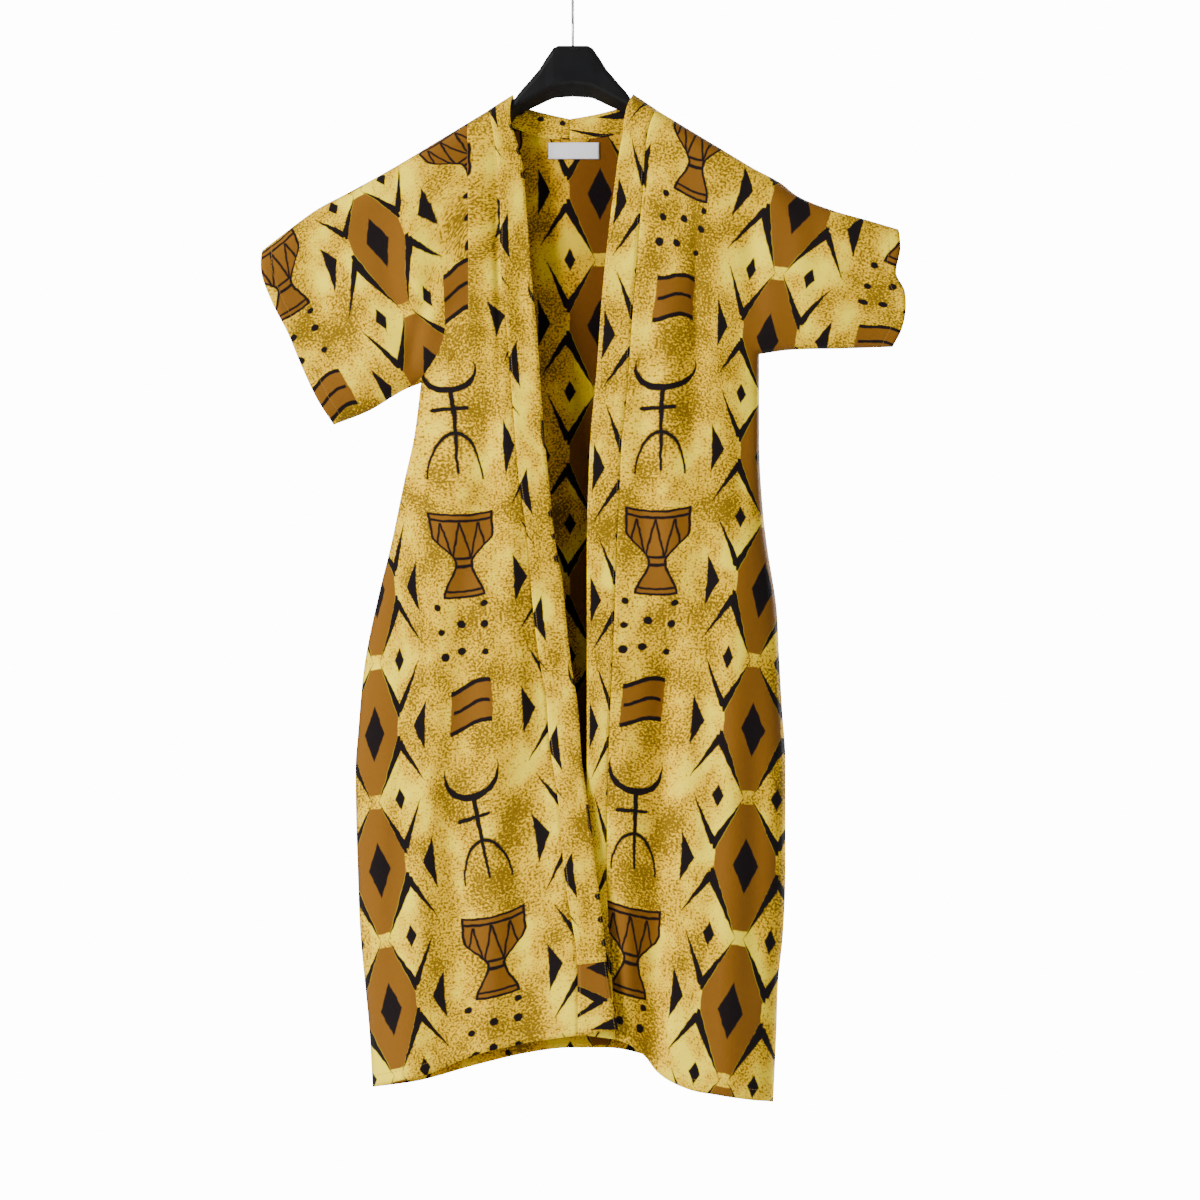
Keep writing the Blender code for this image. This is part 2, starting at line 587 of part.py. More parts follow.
GOLD = (0.72, 0.50, 0.13)
LIGHT_GOLD = (0.80, 0.60, 0.20)
BROWN = (0.36, 0.20, 0.04)
WHITE = (0.85, 0.83, 0.84)
BLACK = (0.02, 0.02, 0.022)
STEEL = (0.55, 0.55, 0.56)


def build():
    for old in list(bpy.data.objects):
        bpy.data.objects.remove(old, do_unlink=True)
    back_panel(GOLD)
    front_panel("front_panel_left", -1, FOLDS_LEFT, GOLD)
    front_panel("front_panel_right", 1, FOLDS_RIGHT, GOLD)
    band("band_left", -1, FOLDS_LEFT, LIGHT_GOLD, JOIN_ROW)
    band("band_right", 1, FOLDS_RIGHT, LIGHT_GOLD, 0)
    band_end(BROWN)
    label(WHITE)
    hanger(BLACK)
    hook(STEEL)


build()
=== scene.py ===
import math
from functools import reduce

import bpy
import numpy as np
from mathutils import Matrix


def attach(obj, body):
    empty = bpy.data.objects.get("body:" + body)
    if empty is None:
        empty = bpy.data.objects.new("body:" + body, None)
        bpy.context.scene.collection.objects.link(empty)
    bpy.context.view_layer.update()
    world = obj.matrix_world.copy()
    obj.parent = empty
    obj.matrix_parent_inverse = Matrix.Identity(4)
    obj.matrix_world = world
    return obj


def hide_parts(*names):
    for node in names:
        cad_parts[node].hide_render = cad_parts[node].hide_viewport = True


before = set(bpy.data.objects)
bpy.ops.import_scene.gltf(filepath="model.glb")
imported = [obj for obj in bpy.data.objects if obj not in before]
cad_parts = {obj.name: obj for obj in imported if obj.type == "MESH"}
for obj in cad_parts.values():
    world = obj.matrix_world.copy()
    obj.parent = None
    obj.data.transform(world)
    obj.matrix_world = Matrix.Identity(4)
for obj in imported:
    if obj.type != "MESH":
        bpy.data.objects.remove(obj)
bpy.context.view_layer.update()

# Open-front wax-print robe on a black hanger. Metres, +Z up, the hang point at the origin, seen along +Y.
# Tables are in millimetres: x to the right of the hook, and drop, the distance below the hang point.

mm = 0.001
camera = {"distance": 2400, "x": 33, "drop": 747, "framed": 1464, "sensor": 36, "clipEnd": 60}
pixel = 1.22  # mm in one pixel of the photograph
hangInPicture = (573, -12)  # the hang point in those pixels, above the top edge


def makeCamera():
    made = bpy.data.objects.new("camera", bpy.data.cameras.new("camera"))
    bpy.context.scene.collection.objects.link(made)
    made.location = (camera["x"] * mm, -camera["distance"] * mm, -camera["drop"] * mm)
    made.rotation_euler = (math.radians(90), 0, 0)
    made.data.sensor_width = camera["sensor"]
    made.data.lens = camera["sensor"] * camera["distance"] / camera["framed"]
    made.data.clip_end = camera["clipEnd"]
    bpy.context.scene.camera = made


makeCamera()
print("stage: camera")


# Curves through tables

def through(rows):  # a smooth curve through rows of (place, value)
    place, value = np.array(sorted(rows), float).T
    slope = np.diff(value) / np.diff(place)
    tangent = np.concatenate([slope[:1], (slope[:-1] + slope[1:]) / 2, slope[-1:]])
    tangent[np.concatenate([[False], slope[:-1] * slope[1:] <= 0, [False]])] = 0

    def read(at):
        at = np.asarray(at, float)
        i = np.clip(np.searchsorted(place, at) - 1, 0, len(slope) - 1)
        step = place[i + 1] - place[i]
        t = np.clip((at - place[i]) / step, 0, 1)
        rise = value[i + 1] - value[i]
        a = step * tangent[i] - rise
        b = rise - step * tangent[i + 1]
        return value[i] + rise * t + t * (1 - t) * (a * (1 - t) + b * t)

    return read


def along(points, share):  # points at shares of the length of a smooth line
    points = np.array(points, float)
    length = np.concatenate([[0], np.cumsum(np.hypot(*np.diff(points, axis=0).T))])
    at = np.asarray(share, float) * length[-1]
    return np.stack([through(list(zip(length, points[:, k])))(at) for k in (0, 1)], axis=-1)


def distanceTo(points, line):
    line = np.array(line, float)
    nearest = np.full(points.shape[:-1], np.inf)
    for start, end in zip(line[:-1], line[1:]):
        run = end - start
        t = np.clip(((points - start) @ run) / (run @ run), 0, 1)
        nearest = np.minimum(nearest, np.linalg.norm(points - start - t[..., None] * run, axis=-1))
    return nearest


def rounded(distance, reach):  # a quarter round from 0 at an edge
    t = np.clip(distance / reach, 0, 1)
    return np.sqrt(1 - (1 - t) ** 2)


def eased(value, start, end):
    t = np.clip((value - start) / (end - start), 0, 1)
    return t * t * (3 - 2 * t)


def blend(a, b, share):
    return a * (1 - share) + b * share


# The robe's outlines: (x, drop) pairs, or (drop, x) for lines that run down

outline = {
    "shoulderLeft": [(-73, 132), (-218, 219.5), (-275, 251), (-311, 270), (-356, 303), (-379, 321)],
    "shoulderRight": [(73, 132), (218, 219.5), (254, 239), (273, 254), (317, 272), (356, 283), (397, 295)],
    "cuffLeft": [(-379, 321), (-378, 350), (-365, 387), (-348, 421), (-331, 462), (-311, 504), (-292, 533)],
    "cuffRight": [(397, 295), (398, 318), (393, 348), (404, 370), (406, 390), (401, 417), (390, 438)],
    "underLeft": [(-292, 533), (-249, 516), (-205, 490), (-185, 482)],
    "underRight": [(390, 438), (329, 440), (261, 442), (227, 447)],
    "sideLeft": [(482, -185), (551, -194), (600, -205), (686, -223), (734, -235), (820, -253), (911, -262),
                 (955, -265), (1083, -262), (1154, -259), (1198, -255), (1272, -248), (1341, -244)],
    "sideRight": [(447, 227), (551, 227), (643, 232), (684, 237), (755, 248), (811, 251), (881, 255),
                  (942, 259), (1071, 259), (1154, 256), (1213, 250), (1272, 248), (1359, 244)],
    "bandSeamLeft": [(142, -104), (198, -94), (259, -89), (320, -89), (381, -84), (442, -79), (515, -73),
                     (600, -66), (661, -57), (765, -48), (820, -41), (863, -33), (917, -29), (991, -18),
                     (1064, -12), (1113, -6), (1174, 4), (1279, 6)],
    "bandSeamRight": [(142, 104), (173, 92), (198, 88), (234, 86), (290, 81), (344, 77), (417, 71), (490, 66),
                      (558, 59), (625, 56), (710, 52), (795, 49), (905, 44), (1039, 41), (1088, 41), (1150, 44),
                      (1215, 48), (1285, 52)],
    "freeEdgeLeft": [(132, -73), (145, -75.5), (158, -76), (193, -67), (220, -60), (250, -58), (368, -49),
                     (417, -44), (503, -38), (564, -33), (625, -27), (686, -20), (722, -13), (783, -7),
                     (832, -1), (875, 6), (944, 11), (1011, 21), (1088, 30), (1161, 39), (1187, 41),
                     (1235, 48), (1275, 56)],
    "freeEdgeRight": [(132, 73), (142, 68), (158, 63), (176, 61), (210, 55), (253, 49), (301, 43), (381, 35),
                      (466, 29), (539, 22), (576, 20), (686, 17), (954, 17), (1064, 13), (1186, 13), (1278, 15)],
    "hemLeft": [(-244, 1341), (-187, 1329), (-118, 1302), (-54, 1287), (6, 1278), (56, 1271)],
    "hemRight": [(15, 1278), (52, 1283), (73, 1292), (88, 1304), (102, 1322), (138, 1343), (176, 1351),
                 (217, 1357), (244, 1359)],
    "hemBack": [(-244, 1341), (-187, 1333), (-118, 1314), (-54, 1299), (0, 1293), (40, 1293), (88, 1302),
                (140, 1325), (200, 1350), (244, 1359)],
    "backNeck": [(-104, 150.7), (-101.5, 154.5), (-97, 157.5), (-84, 163), (-63, 172), (-44, 179), (-4, 183),
                 (42, 179), (63, 172), (84, 163), (97, 157.5), (101.5, 154.5), (104, 150.7)],
    "backEdge": [(73, 132), (72, 136.5), (70, 140), (64, 142), (55, 144), (44, 147), (24, 152), (-4, 157)],
}
curveOf = {name: through(rows) for name, rows in outline.items() if not name.startswith(("cuff", "under"))}
neckPoint, armPoint = outline["shoulderRight"][:2]
neckHalf = 104  # where the band crosses the shoulder seam
joinX = -4  # the band's join at centre back
pastHem = 60  # the side seams' lines run on by this


def side(name, which, table=outline):
    return table[name + ("Left" if which < 0 else "Right")]


def shoulderDrop(x):
    rise, run = armPoint[1] - neckPoint[1], armPoint[0] - neckPoint[0]
    return neckPoint[1] + (np.abs(x) - neckPoint[0]) * rise / run


def upperLine():
    return outline["shoulderLeft"][::-1] + outline["shoulderRight"]


def lowerLine(which):
    seam = side("side", which)
    return side("under", which) + [(x, d) for d, x in seam[1:]] + [(seam[-1][1], seam[-1][0] + pastHem)]


# How the cloth stands off the seam plane

body = {
    "depth": [(130, 15), (230, 17), (480, 24), (800, 30), (1100, 34), (1360, 37)],
    "shoulderRound": 16, "sleeveRound": 50, "sideRound": 75, "sleeveDepth": 15,
    "sleeveAcross": (190, 320), "sleeveDown": (430, 620), "sleeveRoundAcross": (225, 300),
    "seamFlat": 1.3, "seamReach": 2, "foldsBelow": 40, "foldsBeside": 30, "liftReach": 20,
    "outwards": 0.6,  # from the seam plane to the middle of the cloth
    "drawnIn": (0, 120),  # below the shoulders, cloth nearer the camera is drawn in and so keeps its outline
    "lapLift": 7, "lapX": 30, "lapFades": 50, "lapDrops": (820, 1060),
    "foldScale": 1.5, "undulation": 1.5, "phase": {"left": 0.4, "right": 1.7, "back": 3.1},
    "waves": [(1, 1, 31, 210), (0.7, 2, -47, 83), (0.5, 3, 13, 140)],  # height, phases, mm a radian across, down
}
foldEnds = {"longest": 90, "share": 0.3}
crease = {"wander": 0.25, "bends": 5, "grows": (0, 0.35), "dies": (0.6, 1)}

# Folds: x at the top and the bottom, where it starts and ends, its height, and its left and right slopes
folds = {
    "left": [(-98, -62, 300, 960, 4, 13, 16), (-150, -205, 560, 1400, 4, 26, 22),
             (-104, -96, 640, 1400, 5, 20, 24)],
    "right": [(151, 146, 290, 600, -5, 14, 16), (120, 94, 760, 1400, -11, 22, 15),
              (62, 70, 860, 1400, 4, 12, 14), (196, 190, 520, 1400, 4, 22, 24), (112, 118, 330, 760, 4, 16, 20)],
    "back": [(-140, -165, 300, 1400, 5, 24, 26), (-48, -70, 420, 1400, -5, 22, 26),
             (52, 40, 350, 1400, 5, 28, 22), (140, 160, 260, 1400, -5, 26, 24)],
}
# Creases: from x, drop to x, drop, height, half width
creases = {
    "left": [(-171, 335, -204, 492, -3, 7), (-152, 335, -182, 490, 2.2, 12), (-93, 190, -91, 560, -2.2, 5),
             (-59, 210, -62, 470, -1.6, 5), (-200, 250, -186, 455, 2.4, 13),
             (-232, 300, -196, 480, -2.4, 12), (-300, 330, -215, 470, 2.0, 15), (-170, 520, -215, 700, -2.2, 12),
             (-118, 460, -150, 760, 1.8, 15), (-228, 860, -236, 1290, 2.2, 13), (-150, 900, -140, 1290, -2.4, 15),
             (-60, 980, -34, 1260, 2.0, 13), (-325, 330, -265, 480, -1.6, 14)],
    "right": [(151, 255, 150, 520, -2.4, 4.5), (212, 255, 232, 430, -2.6, 12), (262, 270, 300, 425, 2.2, 15),
              (330, 300, 352, 420, -2.0, 13), (120, 190, 108, 340, 1.8, 13), (205, 470, 200, 760, -2.2, 13),
              (88, 430, 84, 760, -1.6, 9), (222, 820, 216, 1300, -2.2, 13), (150, 900, 158, 1300, 2.2, 14),
              (64, 1060, 66, 1270, 2.0, 9)],
    "back": [(-210, 270, -190, 470, 2.4, 14), (-270, 310, -235, 500, -2.4, 15), (220, 280, 236, 430, 2.4, 14),
             (300, 300, 318, 430, -2.2, 15), (-90, 240, -100, 700, 2.0, 17), (92, 260, 104, 800, 2.2, 17),
             (0, 620, -6, 1240, 2.4, 20), (-200, 640, -216, 1290, -2.2, 16), (206, 600, 214, 1290, 2.2, 18)],
}
# The body's lap over the left sleeve. Its columns: x off the line where the cloth lies flat and where it laps
sleeveLap = {
    "x": -126, "height": 13, "flat": 3, "right": 34, "left": 30, "grows": (150, 240), "dies": (400, 520),
    "opens": (380, 440), "printJoins": (520, 640), "printAcross": (-150, -70),
    "columns": [(-1.2, 7), (-0.6, 9), (0, 4), (0.6, -1.5), (1.2, -1)],
    "risen": (0.3, 0.55, 0.85), "printed": (0.25, 0.5, 0.75),
}


def foldHeight(x, drop, which):
    height = np.zeros_like(x)
    for topX, endX, start, end, lift, left, right in folds[which]:
        off = x - (topX + np.clip((drop - start) / (end - start), 0, 1) * (endX - topX))
        fade = min(foldEnds["longest"], foldEnds["share"] * (end - start))
        shown = eased(drop, start, start + fade) * (1 - eased(drop, end - fade, end))
        height += lift * shown * np.exp(-((off / np.where(off < 0, left, right)) ** 2))
    for x0, d0, x1, d1, lift, width in creases[which]:
        run = np.array([x1 - x0, d1 - d0], float)
        t = ((x - x0) * run[0] + (drop - d0) * run[1]) / (run @ run)
        off = ((x - x0) * run[1] - (drop - d0) * run[0]) / np.hypot(*run)
        off = off + crease["wander"] * width * np.sin(crease["bends"] * t + x0)
        shown = eased(t, *crease["grows"]) * (1 - eased(t, *crease["dies"]))
        height += lift * shown * np.exp(-((off / width) ** 2))
    phase = body["phase"][which]
    wave = sum(high * np.sin(x / across + drop / down + times * phase)
               for high, times, across, down in body["waves"])
    return body["foldScale"] * height + body["undulation"] * wave


def lapHeight(x, drop):  # the body lies over the left sleeve's cloth
    lap = sleeveLap
    off = x - lap["x"]
    grown = lap["flat"] + (lap["height"] - lap["flat"]) * eased(drop, *lap["grows"])
    width = np.where(off < 0, lap["left"], lap["right"])
    return grown * (1 - eased(drop, *lap["dies"])) * np.exp(-((off / width) ** 2))


def standOff(points, layer, which, outwards):
    x, drop = points[..., 0], points[..., 1]
    below = np.maximum(distanceTo(points, upperLine()) - body["seamFlat"], 0)
    beside = np.minimum(distanceTo(points, lowerLine(-1)), distanceTo(points, lowerLine(1)))
    beside = np.maximum(beside - body["seamFlat"], 0)
    outside = eased(np.abs(x), *body["sleeveAcross"]) * (1 - eased(drop, *body["sleeveDown"]))
    depth = through(body["depth"])(drop)
    depth = depth + (body["sleeveDepth"] - depth) * outside
    topReach = body["shoulderRound"] + (body["sleeveRound"] - body["shoulderRound"]) * eased(
        np.abs(x), *body["sleeveRoundAcross"])
    sideReach = body["sideRound"] + (body["sleeveRound"] - body["sideRound"]) * outside
    off = depth * rounded(below, topReach) * rounded(beside, sideReach)
    height = foldHeight(x, drop, which)
    off = off + height * rounded(below, body["foldsBelow"]) * rounded(beside, body["foldsBeside"])
    if layer < 0:
        near = 1 - eased(np.abs(x - body["lapX"]), body["lapX"], body["lapX"] + body["lapFades"])
        sign = 1 if which == "left" else -1
        off = off + sign * body["lapLift"] * eased(drop, *body["lapDrops"]) * near
    return off + outwards * rounded(np.minimum(below, beside), body["seamReach"])  # 0 at the seams


def placed(points, layer, which, outwards=body["outwards"], lift=0.0):
    below = distanceTo(points, upperLine())
    y = layer * (standOff(points, layer, which, outwards) + lift * rounded(below, body["liftReach"]))
    near = 1 + y * eased(below, *body["drawnIn"]) / camera["distance"]
    x = camera["x"] + (points[..., 0] - camera["x"]) * near
    z = -camera["drop"] - (points[..., 1] - camera["drop"]) * near
    return np.stack([x, y, z], axis=-1)


# How the print lies. Rows: a point of the photograph (x, y), and the point of the flat print that shows there
# (u, v), all in pixels. Columns of drums stand at u 0 and 214, and columns of lozenges at u 107 and 321.

printRepeat = 402  # of v
backLay = {"lozenge": (107, 31), "seen": (600, 194), "repeat": 134, "seenRepeat": 132}
endLay = {"lozenge": (107, 31), "seen": (613, 968)}

leftFigure = [(426, 365, -26, 210), (451, 390, 0, 242), (473, 360, 20, 209), (434, 411, -15, 262.5),
              (466, 408.5, 9, 260), (459, 472.5, 3, 318), (427, 477.5, -19, 321), (483, 480, 22, 323),
              (463, 552, 0, 402)]
lay = {
    "leftSleeve": [
        (378, 242, -107, 31), (382.5, 181, -77, -36), (334.5, 210, -137, -36), (427, 298, -77, 98),
        (381, 319.5, -137, 98), (411, 316, -107, 105), (402.5, 370, -138, 150), (350, 242.5, -137.5, 22),
        (407.5, 240, -76.5, 40), (418, 220, -58, 31), (283, 279, -214, 0), (310.5, 312, -196, 52),
        (324, 349, -199, 98), (293, 338, -218, 70), (300.5, 362, -221, 96), (332.5, 397.5, -217, 152),
        (449, 153, 0, -18), (469.5, 195, -25, 52), (469.5, 215, -25, 76), (469, 243, -24, 100),
    ],
    "leftStrip": [
        (440, 277, -20, 133), (434, 326, -21, 173), (468, 270, 7, 135), (468, 311, 7, 169), *leftFigure,
    ],
    "leftBody": [
        (477, 130, 34, -62), (477, 222, 34, 31), (477, 310, 36, 146), (497, 222, 44, 31),
        (506, 317.5, 58, 165), (515, 447.5, 58, 299), (528, 578, 58, 433), (536, 709, 58, 567),
        (551, 834, 58, 701), (564, 965, 58, 835), *leftFigure, (406, 590, -58, 433),
        (378, 590, -107, 433), (412.5, 729, -58, 567), (375, 735, -107, 567), (473, 706, -2, 552),
        (475, 797.5, 0, 644), (490, 877.5, 3, 720), (422.5, 865, -58, 701), (380, 870, -107, 701),
        (495, 954, 0, 804), (432, 999, -58, 835), (392, 1010, -107, 835),
    ],
    "right": [
        (696, 156, 0, 0), (666, 194, -25, 52), (684.5, 219, -4, 70), (703, 213, 18, 52), (659.5, 242, -24, 100),
        (674, 298, -3, 152), (664, 387.5, 0, 242), (639, 357.5, -26, 210), (696, 359, 20, 209),
        (661, 470, 3, 318), (656, 551, 0, 402), (641, 702, -3, 552), (637, 792.5, 0, 644), (634, 867.5, 3, 719),
        (631, 948, 0, 804), (798, 212.5, 107, 31), (751, 270, 77, 98), (809, 279, 137, 98),
        (767, 340, 107, 165), (741, 394, 77, 232), (765, 460, 107, 299), (740.5, 517, 77, 366),
        (762, 591, 107, 433), (728, 657.5, 77, 500), (778.5, 664, 137, 500), (753.5, 730, 107, 567),
        (718, 796, 77, 634), (776.5, 800, 137, 634), (745.5, 866, 107, 701), (708.5, 934, 77, 768),
        (770, 942, 137, 768), (730, 1012, 107, 835), (753, 196, 58, 31), (728, 329, 58, 165),
        (725, 451, 58, 299), (720, 582.5, 58, 433), (705, 722.5, 58, 567), (695, 860, 58, 701),
        (873, 267, 189, 52), (867.5, 288, 189.5, 76), (892, 288, 210, 70), (858, 325, 192, 136),
    ],
}


def inPicture(points):
    return points / pixel + np.array(hangInPicture)


def thinPlate(rows, ease=150.0):
    rows = np.array(rows, float)
    place, value = rows[:, :2], rows[:, 2:]

    def kernel(points):
        square = ((points[:, None] - place[None]) ** 2).sum(axis=2)
        return square * np.log(np.maximum(square, 1e-9)) / 2

    count = len(place)
    flat = np.hstack([np.ones((count, 1)), place])
    system = np.vstack([np.hstack([kernel(place) + ease * np.eye(count), flat]),
                        np.hstack([flat.T, np.zeros((3, 3))])])
    weight = np.linalg.solve(system, np.vstack([value, np.zeros((3, 2))]))

    def read(points):
        seen = inPicture(points).reshape(-1, 2)
        found = kernel(seen) @ weight[:count] + np.hstack([np.ones((len(seen), 1)), seen]) @ weight[count:]
        return found.reshape(points.shape)

    return read


layOf = {name: thinPlate(rows) for name, rows in lay.items()}


def layLeftBody(points):
    x, drop = points[..., 0], points[..., 1]
    share = eased(drop, *sleeveLap["opens"]) * (1 - eased(drop, *sleeveLap["printJoins"]))
    share = (share * (1 - eased(x, *sleeveLap["printAcross"])))[..., None]
    return blend(layOf["leftBody"](points), layOf["leftStrip"](points), share)


def layBack(points):
    seen = inPicture(points) - np.array(backLay["seen"])
    v = seen[..., 1] * backLay["repeat"] / backLay["seenRepeat"]
    return np.stack([backLay["lozenge"][0] + seen[..., 0], backLay["lozenge"][1] + v], axis=-1)


# Grids of the front view

grid = {"sleeve": 34, "body": 46, "upper": 48, "lower": 130, "band": 8, "bandBack": 22, "back": (15, 41, 19),
        "apart": 4}
settling = {"top": (160.0, 8), "hem": (1300.0, 12)}  # the first guess of a drop, and rounds to settle it
strip = np.s_[29:, 23:]  # the left sleeve's cloth past its small fold, where the print shifts: columns, rows
backTops = (-176, 206)  # above the underarms
lapLine = [(-126, 164), (-126, 250), (-126, 400), (-133, 428), (-150, 454), (-170, 473), (-185, 482)]


def armhole(which, share, lapped):
    if lapped:
        return along(lapLine, share)
    x = backTops[0] if which < 0 else backTops[1]
    end = side("under", which)[-1]
    share = np.asarray(share, float)[..., None]
    return blend(np.array([x, float(shoulderDrop(x))]), np.array(end, float), share)


def sleevePatch(which, lapped):
    u, v = np.linspace(0, 1, grid["sleeve"] + 1), np.linspace(0, 1, grid["upper"] + 1)
    inner = armhole(which, v, lapped)
    shoulder = [tuple(inner[0])] + [p for p in side("shoulder", which) if abs(p[0] - inner[0][0]) > grid["apart"]
                                     and abs(p[0]) > abs(inner[0][0])]
    top, bottom = along(shoulder[::-1], u), along(side("under", which), u)
    outer = along(side("cuff", which), v)
    u, v = u[:, None, None], v[None, :, None]
    corners = blend(blend(top[0], top[-1], u), blend(bottom[0], bottom[-1], u), v)
    return blend(top[:, None], bottom[:, None], v) + blend(outer, inner, u) - corners


def settled(kind, better, count):
    guess, rounds = settling[kind]
    return reduce(lambda drop, _: better(drop), range(rounds), np.full(count, guess))


def hungGrid(chest, hem, left, right, s):  # from the chest to the hem, between two curves
    def across(drop):
        return blend(left(drop), right(drop), s)

    low = settled("hem", lambda drop: hem(across(drop)), len(s))
    drops = [blend(chest, low, share) for share in np.linspace(0, 1, grid["lower"] + 1)]
    return np.array([np.stack([across(drop), drop], axis=-1) for drop in drops]).transpose(1, 0, 2)


def frontBody(which, lapped):
    seam, hem, edge = (side(name, which, curveOf) for name in ("bandSeam", "hem", "side"))
    s, v = np.linspace(0, 1, grid["body"] + 1), np.linspace(0, 1, grid["upper"] + 1)
    inner = armhole(which, v, lapped)
    chest = inner[-1][1]
    top = settled("top", lambda drop: shoulderDrop(blend(inner[0][0], seam(drop), s)), len(s))
    upper = []
    for row, share in zip(inner, v):
        level = blend(top, chest, share)
        drop = level + (row[1] - level[0]) * (1 - s) ** 2
        upper.append(np.stack([blend(row[0], seam(drop), s), drop], axis=-1))
    return np.array(upper).transpose(1, 0, 2), hungGrid(chest, hem, edge, seam, s)


def backBody():
    left, neck, right = grid["back"]
    tops = np.concatenate([np.linspace(backTops[0], -neckHalf, left)[:-1], np.linspace(-neckHalf, neckHalf, neck),
                           np.linspace(neckHalf, backTops[1], right)[1:]])
    s = (tops - tops[0]) / (tops[-1] - tops[0])
    ends = armhole(-1, 1.0, False), armhole(1, 1.0, False)
    chest = [blend(ends[0][k], ends[1][k], s) for k in (0, 1)]
    top = np.where(np.abs(tops) < neckHalf - 0.01, curveOf["backNeck"](tops), shoulderDrop(tops))
    upper = [np.stack([blend(tops, chest[0], v), blend(top, chest[1], v)], axis=-1)
             for v in np.linspace(0, 1, grid["upper"] + 1)]
    lower = hungGrid(chest[1], *[curveOf[name] for name in ("hemBack", "sideLeft", "sideRight")], s)
    return np.array(upper).transpose(1, 0, 2), lower


levelFrom = 235  # the drop from which the band's rows run level


def bandFront(which):
    upper, lower = frontBody(which, which < 0)
    seam = np.concatenate([upper[-1, :-1], lower[-1]])[::-1]
    edge, hem = side("freeEdge", which, curveOf), side("hem", which, curveOf)
    drop = seam[:, 1] + (hem(edge(seam[0, 1])) - seam[0, 1]) * eased(seam[:, 1], body["lapDrops"][1], seam[0, 1])
    shoulder = shoulderDrop(neckHalf)
    drop = drop - (shoulder - neckPoint[1]) * (1 - eased(seam[:, 1], shoulder, levelFrom))
    free = np.stack([edge(drop), drop], axis=-1)
    return blend(seam[:, None], free[:, None], np.linspace(0, 1, grid["band"] + 1)[:, None])


def bandBack(which):
    x = np.linspace(which * outline["backNeck"][-2][0], joinX, grid["bandBack"])
    seam = np.stack([x, curveOf["backNeck"](x)], axis=-1)
    line = [(which * k, d) for k, d in outline["backEdge"][:-1]] + [outline["backEdge"][-1]]
    free = along(line, np.linspace(0, 1, grid["bandBack"] + 1)[1:])
    return blend(seam[:, None], free[:, None], np.linspace(0, 1, grid["band"] + 1)[:, None])


# Cloth shells

cloth = {"panel": 0.9, "band": 1.7, "label": 0.5, "bandWidth": 37}


def numbered(columns, rows):
    return np.arange(columns * rows).reshape(columns, rows)


def gridFaces(index):
    return np.stack([index[:-1, :-1], index[1:, :-1], index[1:, 1:], index[:-1, 1:]], axis=-1).reshape(-1, 4)


def clothShell(name, points, faces, outward, thickness, corners, edge, node):
    diagonal = np.cross(points[faces[:, 2]] - points[faces[:, 0]], points[faces[:, 3]] - points[faces[:, 1]])
    if diagonal[:, 1].sum() * outward < 0:
        faces, corners = faces[:, ::-1], corners[:, ::-1]
    mesh = bpy.data.meshes.new(name)
    mesh.from_pydata((points * mm).tolist(), [], faces.tolist())
    mesh.uv_layers.new(name="print").data.foreach_set("uv", (corners / printRepeat).astype(np.float32).ravel())
    mesh.attributes.new("edge", "FLOAT", "POINT").data.foreach_set("value", edge.astype(np.float32).ravel())
    piece = bpy.data.objects.new(name, mesh)
    bpy.context.scene.collection.objects.link(piece)
    wall = piece.modifiers.new("thickness", "SOLIDIFY")
    wall.thickness = thickness * mm
    wall.offset = 0
    wall.material_offset = 1  # the inside face gets the next material, whose dyes are darkened as painted shade
    mesh.shade_smooth()
    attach(piece, "root")
    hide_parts(node)
    return piece


def toEdges(points, which):  # mm to the cuff or the hem, whichever is nearer
    near = np.full(points.shape[:-1], np.inf)
    for line in [outline["hem" + which]] + [outline["cuff" + end] for end in ("Left", "Right")]:
        near = np.minimum(near, distanceTo(points, line))
    return near


def twoGrids(across, lower, start, end=None):  # faces of the upper grid, and of the one that hangs from it
    index = numbered(*across.shape[:2])
    below = index.size + numbered(len(lower), grid["lower"])
    return np.concatenate([gridFaces(index), gridFaces(np.concatenate([index[start:end, -1:], below], axis=1))])


def joined(across, lower):  # values at the points of both grids
    below = lower[:, 1:]
    return np.concatenate([grown.reshape(grown.shape[0] * grown.shape[1], -1) for grown in (across, below)])


def lapColumns(line):  # from the last column of the sleeve to the first one of the body
    over = 1 - eased(line[:, 1], *sleeveLap["opens"])
    columns = []
    for flatX, overX in sleeveLap["columns"]:
        column = line.copy()
        column[:, 0] += blend(flatX, overX, over)
        column[0, 1] = shoulderDrop(column[0, 0])
        columns.append(column)
    return columns


